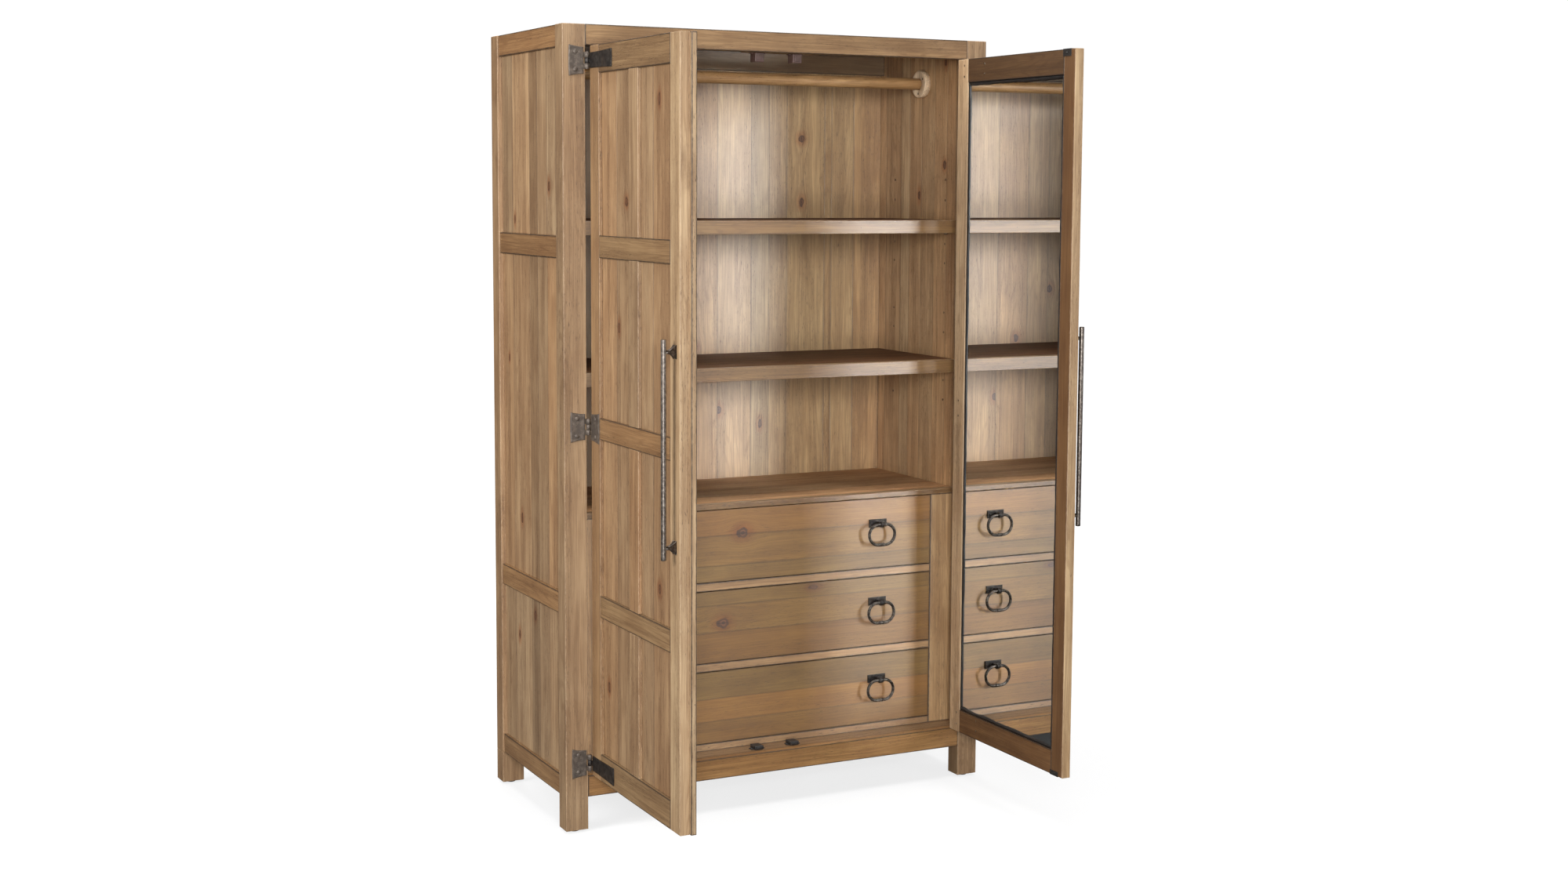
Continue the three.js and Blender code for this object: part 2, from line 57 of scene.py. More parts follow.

# Stains of the wood, linear RGB; a few of them hold painted light and shade, as noted below
POST = (0.295, 0.188, 0.106)
RAIL = (0.262, 0.148, 0.068)
APRON = (0.280, 0.146, 0.052)
FIELD = (0.328, 0.205, 0.113)
# The 'mirror' entries are painted light and shade for the mirror door's inner face: a paler hinge stile and a
# darker lead stile
STILE_STAIN_AND_PAINTED_LIGHT = {"plain": (0.300, 0.178, 0.090), "mirror": (0.58, 0.400, 0.245)}
LEAD_STILE_STAIN_AND_PAINTED_SHADE = {"plain": (0.42, 0.280, 0.160), "mirror": (0.130, 0.062, 0.024)}
LEAD_EDGE = {"left": (0.42, 0.285, 0.170), "right": (0.43, 0.290, 0.165)}
# Painted light and shade on the mirror door's inner rails: the bottom one lighter, the top one darker
MIRROR_RAIL_PAINTED_LIGHT_AND_SHADE = {"low": (0.188, 0.090, 0.035), "high": (0.082, 0.039, 0.015)}
LINING = (0.490, 0.300, 0.155)
BACK = (0.480, 0.296, 0.140)
SHELF = (0.140, 0.062, 0.026)
DECK = (0.500, 0.290, 0.150)
BASE_LEDGE = (0.255, 0.148, 0.072)
SHELF_EDGE = (0.252, 0.136, 0.046)
DRAWER = (0.258, 0.128, 0.029)
CHEST_FRAME = (0.375, 0.225, 0.108)
# Painted light: the chest's stiles are a lighter copy of the frame's stain, offsetting the shade on them
CHEST_STILE_PAINTED_LIGHT = (0.500, 0.300, 0.145)
TRAY = (0.48, 0.335, 0.185)
ROD = (0.430, 0.245, 0.108)
CUP = (0.780, 0.590, 0.410)

# How a board's edges look: rubbed pale, dark with old glaze and painted shade, or plain
RUBBED, PLAIN, GLAZED_AND_SHADED = 1.0, 0.0, -1.0

# Widths and layouts, metres, in the case's own coordinates: x from its left side, y from its front
CASE_X = 0.610
CASE_Y = 0.0135
SIDE_JOINTS = [0.081, 0.146, 0.218, 0.275, 0.404]
BACK_JOINTS = [0.032, 0.121, 0.194, 0.262, 0.340, 0.395, 0.478, 0.552, 0.661, 0.767, 0.823, 0.880,
               1.003, 1.026, 1.099, 1.188]
LINING_JOINTS = [0.050, 0.098, 0.144, 0.212, 0.281, 0.348, 0.395, 0.480, 0.520]
DRAWER_CUTS = {1: (0.22, 0.64), 2: (0.42, 0.80), 3: (0.30, 0.62)}
DOOR_JOINTS = [0.0495, 0.150, 0.273, 0.372, 0.4965]

# Places in the case that the looks need, metres
LINING_INSET = 32 * MM
FRONT_POST_DEPTH = 0.050
SIDE_BACK = 0.486
SIDE_RAILS = (0.587, 1.485)
SIDE_RAIL_HALF = 27.5 * MM
PLANKS_FRONT = 0.520
CLEAT_LEVEL = 1.962

# A door's layout, mm: along it from its hinge edge, and into it from its outer face
DOOR_WIDTH = 546
STRIP_START = 543
STILE_EDGES = (56, 490)
LIP_EDGES = (50, 496)
MULLION = (245, 301)
FACE_DEPTH = 9
DOOR_DEPTH = 24
PANEL_DEPTHS = (9.3, 15.2)

# Heights of a door's four fields, and the step from its outer rails back to its inner ones, metres
DOOR_FIELDS = [(0.216, 0.565), (0.620, 1.012), (1.066, 1.461), (1.516, 1.911)]
RABBET = 6 * MM

# Directions, and the hinges' sizes in metres
UP = Vector((0, 0, 1))
FORWARD = Vector((0, -1, 0))
HINGE_LEAF = {"waist": 0.86, "thickness": 3.0 * MM, "bow": 1.5 * MM, "depth": 0.45 * MM}
HINGE_SCREW = (6.2 * MM, 2.9 * MM)
HINGE_GAP = 0.3 * MM
BARREL_RADIUS = 5.5 * MM
KNUCKLE_HALF = 6.75 * MM

# The two knuckles on a hinge's post leaf, mm above the middle of the hinge
POST_KNUCKLES = ((-20.5, -7.25), (7.25, 20.5))

# From the middle of a bar pull to each of its posts, metres
PULL_POST_OFFSET = 224 * MM

# Shelf pin holes: heights, and depths into the case, metres
PIN_LEVELS = (1.660, 1.603, 1.482, 1.428, 1.290, 1.235, 1.100, 1.045)
PIN_DEPTHS = (0.150, 0.430)

# Bolt ends in a door's inner face, mm: along the door, and up
BOLTS = ((40, 1962), (40, 1933), (139, 1962), (139, 1936), (31, 1062), (31, 1021),
         (44, 200), (44, 168), (145, 198), (145, 170))

# Light of the floor and the world
FLOOR_GLOW = 0.77
WORLD_FILL = 0.13
WHITE_OUT = 1.05

# The photograph's viewpoint: heading from +Y towards +X, tilt up and roll, in radians
CAMERA_PLACE = (-2.3955, -4.7254, 1.6305)
HEADING, TILT, ROLL = 0.46987, -0.09993, 0.00541
LENS = 46.815
SHIFT = (-0.002, -0.03)

# Knots as (x, y, z, half width), in the case's coordinates; each falls on the board it lies in
KNOTS = [
    (0.012, 0.131, 1.636, 5.0), (0.012, 0.388, 1.549, 3.5), (0.012, 0.348, 0.760, 4.5),
    (0.012, 0.251, 0.516, 5.0), (0.012, 0.374, 0.440, 5.0), (0.012, 0.440, 1.180, 3.0),
    (0.078, -0.417, 1.836, 4.5), (0.078, -0.219, 1.600, 6.5), (0.078, -0.170, 1.296, 4.5),
    (0.078, -0.171, 0.650, 5.5), (0.078, -0.417, 0.698, 5.5), (0.078, -0.100, 0.395, 5.0),
    (0.078, -0.400, 0.330, 4.0),
    (0.927, 0.520, 1.776, 6.5), (0.928, 0.520, 1.594, 5.6), (0.666, 0.520, 1.003, 5.6),
    (0.797, 0.520, 0.958, 4.5), (0.470, 0.520, 1.330, 7.0), (0.300, 0.520, 1.020, 8.0),
    (0.590, 0.520, 1.180, 7.0), (0.240, 0.520, 1.700, 6.0),
    (1.188, 0.156, 1.700, 6.0), (1.188, 0.293, 1.616, 5.0), (1.188, 0.156, 1.985, 4.0),
    (0.032, 0.220, 1.400, 6.0), (0.032, 0.330, 1.050, 5.0),
    (0.531, 0.079, 0.724, 10.0), (0.474, 0.079, 0.486, 10.0), (0.745, 0.079, 0.560, 4.5),
    (0.300, 0.079, 0.262, 6.0), (0.245, 0.079, 0.640, 5.0),
]


def at_case(x, y, z):
    """A point given in the case's coordinates, in the row frame."""
    return Vector((x - CASE_X, y + CASE_Y, z))


KNOTS = [(at_case(x, y, z), size * 1.2 * MM) for x, y, z, size in KNOTS]


def spans(node):
    """((x0, x1), (y0, y1), (z0, z1)) of a CAD node at rest."""
    low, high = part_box(node)
    return tuple((low[i], high[i]) for i in range(3))


# --------------------------------------------------------------------------------------------- nodes


class Net:
    """Short ways to make and join shader nodes in one material."""

    def __init__(self, name):
        self.material = bpy.data.materials.new(name)
        self.material.use_nodes = True
        self.tree = self.material.node_tree
        self.shader = self.tree.nodes["Principled BSDF"]

    def node(self, kind, inputs=(), **settings):
        made = self.tree.nodes.new("ShaderNode" + kind)
        for key, value in settings.items():
            setattr(made, key, value)
        for key, value in dict(inputs).items():
            self.put(made.inputs[key], value)
        return made

    def put(self, socket, value):
        if isinstance(value, bpy.types.NodeSocket):
            self.tree.links.new(value, socket)
        else:
            socket.default_value = value

    def math(self, operation, *values, clamp=False):
        made = self.node("Math", enumerate(values), operation=operation)
        made.use_clamp = clamp
        return made.outputs[0]

    def times(self, a, b):
        return self.math("MULTIPLY", a, b)

    def plus(self, a, b):
        return self.math("ADD", a, b)

    def minus(self, a, b):
        return self.math("SUBTRACT", a, b)

    def vector(self, operation, *values):
        made = self.node("VectorMath", enumerate(values), operation=operation)
        return made.outputs["Value" if operation in ("LENGTH", "DOT_PRODUCT") else "Vector"]

    def join(self, x, y, z):
        return self.node("CombineXYZ", {0: x, 1: y, 2: z}).outputs[0]

    def split(self, vector):
        return self.node("SeparateXYZ", {0: vector}).outputs

    def attribute(self, name, output="Vector"):
        return self.node("Attribute", attribute_name=name).outputs[output]

    def noise(self, vector, scale=1.0, detail=3.0, roughness=0.55, distortion=0.0):
        inputs = {"Vector": vector, "Scale": scale, "Detail": detail, "Roughness": roughness,
                  "Distortion": distortion}
        return self.node("TexNoise", inputs).outputs[0]

    def fade(self, value, start, end):
        """0 where value is at start, 1 where it is at end, smoothly between."""
        inputs = {"Value": value, "From Min": start, "From Max": end}
        return self.node("MapRange", inputs, interpolation_type="SMOOTHSTEP").outputs[0]

    def spread(self, value, low, high):
        """A 0 to 1 value spread evenly from low to high."""
        inputs = {"Value": value, "To Min": low, "To Max": high}
        return self.node("MapRange", inputs).outputs[0]

    def mix(self, factor, a, b, blend="MIX"):
        made = self.node("Mix", data_type="RGBA", blend_type=blend)
        colours = [s for s in made.inputs if s.type == "RGBA"]
        self.put(made.inputs["Factor"], factor)
        self.put(colours[0], a if isinstance(a, bpy.types.NodeSocket) else (*a, 1.0))
        self.put(colours[1], b if isinstance(b, bpy.types.NodeSocket) else (*b, 1.0))
        return next(s for s in made.outputs if s.type == "RGBA")

    def scaled(self, vector, x, y, z):
        return self.vector("MULTIPLY", vector, (x, y, z))

    def finish(self, colour=None, roughness=None, height=None, depth=0.0, strength=1.0):
        if colour is not None:
            self.put(self.shader.inputs["Base Color"], colour)
        if roughness is not None:
            self.put(self.shader.inputs["Roughness"], roughness)
        if height is not None:
            bump = self.node("Bump", {"Height": height, "Distance": depth, "Strength": strength})
            self.put(self.shader.inputs["Normal"], bump.outputs[0])
        return self.material


def wood(name, pores=1.0, figure=1.0, contrast=1.0, gloss=0.5, coat=0.0, sheen_roughness=0.5):
    """Pecan boards under a rubbed, glazed satin finish; the glazed edges also carry painted shade. Reads the
    attributes that Joinery writes.
    """
    net = Net(name)
    along, across, deep = net.split(net.attribute("grain"))
    knots = []
    flowing = across
    for which in ("knot_a", "knot_b"):
        knot_along, knot_across, size = net.split(net.attribute(which))
        stretch = net.node("MapRange", {"Value": size, "From Min": 0.005, "From Max": 0.0075,
                                        "To Min": 2.5, "To Max": 1.25}).outputs[0]
        du = net.math("DIVIDE", net.minus(along, knot_along), net.times(size, stretch))
        dv = net.math("DIVIDE", net.minus(across, knot_across), size)
        radius = net.vector("LENGTH", net.join(du, dv, 0.0))
        pull = net.math("EXPONENT", net.times(net.times(radius, radius), -0.10))
        push = net.times(net.times(dv, size), pull)
        flowing = net.minus(flowing, net.times(push, 0.8))
        knots.append((radius, du, dv))
    sway = net.noise(net.scaled(net.join(along, flowing, deep), 2.2, 9.0, 9.0), detail=1.0)
    flowing = net.plus(flowing, net.times(net.minus(sway, 0.5), 0.014 * figure))
    fibre = net.join(along, flowing, deep)

    broad = net.noise(net.scaled(fibre, 1.1, 34.0, 18.0), detail=3.0)
    narrow = net.noise(net.scaled(fibre, 3.0, 190.0, 90.0), detail=4.0, roughness=0.65)
    hair = net.noise(net.scaled(fibre, 10.0, 620.0, 400.0), detail=3.0, roughness=0.6)
    blotch = net.noise(net.scaled(fibre, 5.0, 9.0, 9.0), detail=4.0, roughness=0.6)
    smudge = net.noise(net.scaled(fibre, 6.0, 16.0, 12.0), detail=5.0, roughness=0.7)
    rings = net.noise(net.scaled(fibre, 1.2, 12.0, 6.0), detail=1.5)
    lines = net.math("SINE", net.times(rings, 110.0 * figure))
    lines = net.times(net.fade(lines, 0.25, 1.0), net.fade(narrow, 0.42, 0.62))
    ticks = net.noise(net.scaled(fibre, 58.0, 520.0, 300.0), detail=2.0, roughness=0.7)
    ticks = net.times(net.fade(ticks, 0.57, 0.70), net.fade(broad, 0.62, 0.42))

    shade = net.plus(net.times(broad, 0.34), net.times(narrow, 0.32))
    shade = net.plus(shade, net.times(hair, 0.34))
    shade = net.fade(shade, 0.38, 0.67)
    tint = net.mix(shade, (0.65, 0.60, 0.54), (1.26, 1.29, 1.26))
    tint = net.mix(contrast, (1.0, 1.0, 1.0), tint)
    stain = net.attribute("stain", "Color")
    colour = net.mix(1.0, stain, tint, "MULTIPLY")
    brown = net.mix(1.0, colour, (0.62, 0.55, 0.49), "MULTIPLY")
    colour = net.mix(net.times(lines, 0.55 * contrast), colour, brown)
    streaks = net.noise(net.scaled(fibre, 1.7, 80.0, 40.0), detail=4.0, roughness=0.65)
    colour = net.mix(net.times(net.fade(streaks, 0.58, 0.72), 0.55 * contrast), colour, brown)
    cloud = net.mix(net.fade(blotch, 0.35, 0.68), (0.88, 0.84, 0.80), (1.08, 1.10, 1.10))
    colour = net.mix(1.0, colour, cloud, "MULTIPLY")
    grey = net.mix(1.0, colour, (0.56, 0.51, 0.47), "MULTIPLY")
    colour = net.mix(net.times(net.fade(smudge, 0.58, 0.76), 0.60 * contrast), colour, grey)
    colour = net.mix(net.times(ticks, 0.68 * pores), colour, (0.060, 0.031, 0.016))

    crumbs = net.noise(net.scaled(fibre, 90.0, 190.0, 190.0), detail=4.0)
    ragged = net.times(net.minus(crumbs, 0.5), 1.3)
    for radius, du, dv in knots:
        uneven = net.plus(radius, ragged)
        halo = net.times(net.fade(uneven, 3.4, 0.9), 0.62)
        colour = net.mix(halo, colour, net.mix(1.0, colour, (0.74, 0.42, 0.25), "MULTIPLY"))
        layers = net.fade(net.math("SINE", net.times(uneven, 11.0)), -0.2, 0.9)
        heart = net.mix(layers, (0.175, 0.070, 0.028), (0.085, 0.034, 0.014))
        colour = net.mix(net.times(net.fade(uneven, 1.25, 0.75), 0.92), colour, heart)
        rim = net.math("ABSOLUTE", net.minus(uneven, 0.95))
        colour = net.mix(net.times(net.fade(rim, 0.26, 0.05), 0.72), colour, (0.036, 0.017, 0.009))
        slit = net.plus(net.times(net.math("ABSOLUTE", dv), 4.2), net.math("ABSOLUTE", du))
        slit = net.fade(net.plus(slit, ragged), 1.5, 0.9)
        colour = net.mix(net.times(slit, 0.60), colour, (0.022, 0.010, 0.006))

    reach = net.vector("SUBTRACT", net.attribute("half"), net.vector("ABSOLUTE", net.attribute("place")))
    dx, dy, dz = net.split(reach)
    least = net.math("MINIMUM", dx, net.math("MINIMUM", dy, dz))
    most = net.math("MAXIMUM", dx, net.math("MAXIMUM", dy, dz))
    total = net.plus(dx, net.plus(dy, dz))
    from_edge = net.minus(net.minus(total, least), most)
    style = net.attribute("edge", "Fac")
    chips = net.noise(net.scaled(net.attribute("grain"), 70.0, 190.0, 190.0), detail=4.0, roughness=0.7)
    worn_reach = net.times(net.fade(chips, 0.40, 0.75), 0.0045)
    worn = net.fade(net.minus(from_edge, worn_reach), 0.0015, -0.0010)
    worn = net.times(net.times(worn, 0.26), net.math("MAXIMUM", style, 0.0))
    colour = net.mix(worn, colour, net.mix(0.55, stain, (0.56, 0.43, 0.29)))
    # Dark edges: old glaze, and painted shade along the joints and the rails' edges
    glaze_and_shade = net.fade(net.minus(from_edge, net.times(chips, 0.004)), 0.0018, -0.0014)
    share = net.math("MULTIPLY_ADD", style, -0.60, 0.30, clamp=True)
    glaze_and_shade = net.times(glaze_and_shade, share)
    colour = net.mix(glaze_and_shade, colour, (0.030, 0.019, 0.012))

    cells = net.node("TexVoronoi", {"Vector": net.attribute("grain"), "Scale": 17.0, "Randomness": 1.0})
    chosen = net.math("GREATER_THAN", net.split(cells.outputs["Color"])[0], 0.86)
    holes = net.times(net.fade(cells.outputs["Distance"], 0.024, 0.015), chosen)
    colour = net.mix(net.times(holes, 0.9), colour, (0.020, 0.011, 0.007))

    matt = net.spread(narrow, sheen_roughness + 0.07, sheen_roughness - 0.07)
    matt = net.plus(matt, net.times(ticks, 0.15))
    height = net.plus(net.times(hair, 0.35), net.times(narrow, 0.5))
    height = net.minus(height, net.times(ticks, 0.6 * pores))
    height = net.minus(height, net.times(holes, 3.0))
    net.shader.inputs["Specular IOR Level"].default_value = gloss
    net.shader.inputs["Coat Weight"].default_value = coat
    net.shader.inputs["Coat Roughness"].default_value = 0.47
    return net.finish(colour, matt, height, depth=0.35 * MM, strength=0.55)


def forged_iron(name, dark, bright, roughness, metallic=0.85, scale=1.0, relief=0.6):
    """Hammered, waxed iron: dark in its hollows, rubbed on what stands proud."""
    net = Net(name)
    place = net.node("TexCoord").outputs["Object"]
    dents = net.noise(place, 95.0 * scale, detail=2.0, roughness=0.45)
    scale_marks = net.noise(place, 420.0 * scale, detail=5.0, roughness=0.7)
    mottling = net.noise(place, 38.0 * scale, detail=3.0)
    rub = net.plus(net.times(dents, 0.6), net.times(scale_marks, 0.4))
    colour = net.mix(net.fade(rub, 0.42, 0.66), dark, bright)
    rust = net.times(net.fade(mottling, 0.52, 0.72), 0.35)
    colour = net.mix(rust, colour, (0.085, 0.055, 0.036))
    matt = net.spread(scale_marks, roughness - 0.12, roughness + 0.16)
    height = net.plus(dents, net.times(scale_marks, 0.25))
    net.shader.inputs["Metallic"].default_value = metallic
    return net.finish(colour, matt, height, depth=0.5 * MM, strength=relief)


def moulded(name, base, roughness, mottle=0.25):
    """Moulded plastic or rubber with a slight, fine variation."""
    net = Net(name)
    place = net.node("TexCoord").outputs["Object"]
    grain = net.noise(place, 260.0, detail=3.0)
    cloud = net.noise(place, 40.0, detail=2.0)
    low = tuple(c * (1 - mottle) for c in base)
    high = tuple(c * (1 + mottle) for c in base)
    colour = net.mix(net.fade(cloud, 0.3, 0.7), low, high)
    matt = net.spread(grain, roughness - 0.06, roughness + 0.08)
    return net.finish(colour, matt, grain, depth=0.12 * MM, strength=0.4)


def looking_glass(name):
    """Silvered glass with the faintest cloud in its silvering."""
    net = Net(name)
    place = net.node("TexCoord").outputs["Object"]
    cloud = net.fade(net.noise(place, 6.0, detail=2.0), 0.3, 0.7)
    net.shader.inputs["Metallic"].default_value = 1.0
    net.shader.inputs["Roughness"].default_value = 0.0
    return net.finish(net.mix(cloud, (0.90, 0.915, 0.90), (0.93, 0.94, 0.925)))


CASE_WOOD = wood("worn_pecan")
LACQUERED_WOOD = wood("lacquered_pecan", gloss=0.9, coat=1.0, sheen_roughness=0.47)
SHELF_WOOD = wood("shelf_pecan", contrast=0.8, gloss=0.25, sheen_roughness=0.62)
TRAY_WOOD = wood("plain_maple", pores=0.5, figure=0.6, contrast=0.6, sheen_roughness=0.6)
DRAWER_WOOD = wood("drawer_pecan", pores=0.7, figure=1.2, contrast=0.62, gloss=0.9, coat=1.0,
                   sheen_roughness=0.47)
IRON = forged_iron("hammered_iron", (0.080, 0.062, 0.049), (0.155, 0.122, 0.096), 0.48,
                   metallic=0.35, relief=0.45)
STRAP_IRON = forged_iron("strap_iron", (0.014, 0.011, 0.010), (0.050, 0.042, 0.036), 0.45, metallic=0.5)
PULL_STEEL = forged_iron("rubbed_steel", (0.110, 0.092, 0.078), (0.260, 0.222, 0.190), 0.34,
                         scale=1.6, relief=0.25)
RING_STEEL = forged_iron("ring_steel", (0.040, 0.034, 0.030), (0.130, 0.112, 0.096), 0.27,
                         scale=1.6, relief=0.15)
SCREW_STEEL = forged_iron("screw_steel", (0.150, 0.115, 0.080), (0.420, 0.350, 0.260), 0.35, scale=2.0)
BROWN_PLASTIC = moulded("brown_plastic", (0.095, 0.052, 0.042), 0.42)
BLACK_PLASTIC = moulded("black_plastic", (0.016, 0.014, 0.013), 0.40)
RUBBER = moulded("black_caulk", (0.012, 0.011, 0.011), 0.38)
GLASS = looking_glass("silvered_glass")


# ------------------------------------------------------------------------------------------- joinery

VECTOR_FIELDS = ("grain", "place", "half", "knot_a", "knot_b")
NO_KNOT = (1000.0, 1000.0, 0.01)
STATION = 0.11


class Joinery:
    """Boards gathered into one mesh. Each vertex keeps its place in its board, and its board's looks."""

    def __init__(self):
        self.points = []
        self.faces = []
        self.fields = {name: [] for name in VECTOR_FIELDS}
        self.stains = []
        self.edges = []
        self.smooth = []

    def board(self, x, y, z, axis, stain, edge=GLAZED_AND_SHADED, bevel=0.9 * MM, lively=0.10, knots=True):
        """A board with its grain along axis, filling the box of the three (low, high) spans."""
        box = (x, y, z)
        others = [i for i in range(3) if i != axis]
        (a0, a1), (b0, b1) = (box[i] for i in others)
        outline = [(a0, b0), (a1, b0), (a1, b1), (a0, b1)]
        self.moulding(outline, box[axis], axis, stain, edge, bevel, lively, knots)

    def moulding(self, outline, length, axis, stain, edge=GLAZED_AND_SHADED, bevel=0.9 * MM, lively=0.10, knots=True):
        """A board whose outline is drawn in the two axes across its grain, in XYZ order."""
        mesh = bmesh.new()
        others = [i for i in range(3) if i != axis]
        low, high = length

        def point(pair, place):
            made = [0.0, 0.0, 0.0]
            made[axis] = place
            made[others[0]], made[others[1]] = pair
            return made

        rings = [[mesh.verts.new(point(pair, place)) for pair in outline] for place in (low, high)]
        mesh.faces.new(rings[0])
        mesh.faces.new(rings[1])
        for i in range(len(outline)):
            j = (i + 1) % len(outline)
            mesh.faces.new((rings[0][i], rings[0][j], rings[1][j], rings[1][i]))
        bmesh.ops.recalc_face_normals(mesh, faces=mesh.faces)
        normal = Vector([1.0 if i == axis else 0.0 for i in range(3)])
        for k in range(1, int((high - low) / STATION)):
            everything = mesh.verts[:] + mesh.edges[:] + mesh.faces[:]
            where = normal * (low + k * STATION)
            bmesh.ops.bisect_plane(mesh, geom=everything, plane_co=where, plane_no=normal)
        sharp = [e for e in mesh.edges if e.calc_face_angle(0.0) > 0.5]
        rounded = bmesh.ops.bevel(mesh, geom=sharp, offset=bevel, segments=2, profile=0.5, affect="EDGES")
        self.wear(mesh, set(rounded["faces"]), bevel)
        widths = [max(p[k] for p in outline) - min(p[k] for p in outline) for k in range(2)]
        wide, thin = others if widths[0] >= widths[1] else others[::-1]
        self.take(mesh, (axis, wide, thin), stain, edge, lively, knots)
        mesh.free()

    def wear(self, mesh, rounded, bevel):
        """Presses the crests of the rounded edges in, unevenly, as handling does."""
        mesh.normal_update()
        for v in mesh.verts:
            if all(f in rounded for f in v.link_faces):
                amount = noise.noise(v.co * 23.0) + 0.5 * noise.noise(v.co * 71.0)
                v.co -= v.normal * max(0.0, amount) * bevel * 0.7

    def take(self, mesh, order, stain, edge, lively, knots=True):
        """Adds a bmesh's faces, with its place, grain and looks as one board. order: along, across, deep."""
        mesh.verts.index_update()
        low = Vector([min(v.co[i] for v in mesh.verts) for i in range(3)])
        high = Vector([max(v.co[i] for v in mesh.verts) for i in range(3)])
        middle, half = (low + high) / 2, (high - low) / 2
        shift = [random.uniform(-9.0, 9.0) for _ in range(3)]
        light = 1.0 + random.uniform(-lively, lively)
        warm = random.uniform(-0.9, 0.9) * lively
        stain = (stain[0] * light * (1 + warm), stain[1] * light, stain[2] * light * (1 - warm))
        found = self.knots_of(low, high, order, shift) if knots else []
        found = (found + [NO_KNOT, NO_KNOT])[:2]
        first = len(self.points)
        for v in mesh.verts:
            self.points.append(tuple(v.co))
            self.fields["grain"].append([v.co[order[i]] + shift[i] for i in range(3)])
            self.fields["place"].append([v.co[i] - middle[i] for i in order])
            self.fields["half"].append([half[i] for i in order])
            self.fields["knot_a"].append(found[0])
            self.fields["knot_b"].append(found[1])
            self.stains.append((*stain, 1.0))
            self.edges.append(edge)
        for f in mesh.faces:
            self.faces.append([first + v.index for v in f.verts])
            self.smooth.append(f.smooth)

    def knots_of(self, low, high, order, shift):
        near = 4 * MM
        found = []
        for point, size in KNOTS:
            if all(low[i] - near <= point[i] <= high[i] + near for i in range(3)):
                found.append((point[order[0]] + shift[0], point[order[1]] + shift[1], size))
        return found

    def make(self, name, body, slot, replaced, material=None):
        data = bpy.data.meshes.new(name)
        data.from_pydata(self.points, [], self.faces)
        for field, rows in self.fields.items():
            layer = data.attributes.new(field, "FLOAT_VECTOR", "POINT")
            layer.data.foreach_set("vector", [c for row in rows for c in row])
        layer = data.attributes.new("stain", "FLOAT_COLOR", "POINT")
        layer.data.foreach_set("color", [c for row in self.stains for c in row])
        layer = data.attributes.new("edge", "FLOAT", "POINT")
        layer.data.foreach_set("value", self.edges)
        data.polygons.foreach_set("use_smooth", self.smooth)
        data.materials.append(material or CASE_WOOD)
        return settle(bpy.data.objects.new(name, data), body, replaced)


def settle(obj, body, replaced=()):
    """Links a finished piece, and says what it rides on and what it stands for."""
    bpy.context.scene.collection.objects.link(obj)
    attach(obj, body)
    if replaced:
        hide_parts(*replaced)
    return obj


def pairs(values):
    return list(zip(values, values[1:]))


# ---------------------------------------------------------------------------------------------- case


def build_posts():
    for side, sign in SIDES.items():
        x, y, z = spans(f"post_front_{side}")
        front = Joinery()
        front.board(x, y, z, Z, POST, RUBBED, bevel=1.4 * MM)
        front.make(f"front_post_{side}", "case", "case_wood", [f"post_front_{side}"])

        x, y, z = spans(f"post_back_{side}")
        outer, inner = (x[0], x[1]) if sign < 0 else (x[1], x[0])
        step = outer - sign * 24 * MM
        planks_back = y[1] - 6 * MM
        outline = [(outer, y[0]), (step, y[0]), (step, planks_back),
                   (inner, planks_back), (inner, y[1]), (outer, y[1])]
        back = Joinery()
        leg_top = spans("back_panel")[2][0]
        back.moulding(outline, (leg_top, z[1]), Z, POST, RUBBED, bevel=1.5 * MM)
        back.board(x, y, (z[0], leg_top), Z, POST, RUBBED, bevel=1.5 * MM)
        back.make(f"back_post_{side}", "case", "case_wood", [f"post_back_{side}"])


def build_sides():
    for side, sign in SIDES.items():
        (x0, x1), (y0, y1), (z0, z1) = spans(f"side_panel_{side}")
        face, inside = (x0, x1) if sign < 0 else (x1, x0)

        def layer(start, end):
            return tuple(sorted((face - sign * start * MM, face - sign * end * MM)))

        depth = (at_case(0, FRONT_POST_DEPTH, 0).y, at_case(0, SIDE_BACK, 0).y)
        levels = [(z0, z0 + 52 * MM)]
        levels += [(middle - SIDE_RAIL_HALF, middle + SIDE_RAIL_HALF) for middle in SIDE_RAILS]
        levels.append((z1 - 55 * MM, z1))
        panel = Joinery()
        for level in levels:
            panel.board(layer(0, 20), depth, level, Y, RAIL, GLAZED_AND_SHADED, bevel=1.1 * MM)
        joints = [depth[0]] + [y + CASE_Y for y in SIDE_JOINTS] + [depth[1]]
        tones = [1.10, 1.18, 1.08, 0.88, 1.18, 1.06]
        for (_, low), (high, _) in pairs(levels):
            for plank, tone in zip(pairs(joints), tones):
                stain = tuple(c * tone for c in FIELD)
                panel.board(layer(8, 20), plank, (low, high), Z, stain, PLAIN, bevel=0.6 * MM, lively=0.07)
        for plank in pairs([y + CASE_Y for y in LINING_JOINTS]):
            panel.board(layer(20, 28), plank, (z0, z1), Z, LINING, PLAIN, bevel=0.4 * MM, lively=0.12)
        panel.make(f"side_{side}", "case", "case_wood", [f"side_panel_{side}"])


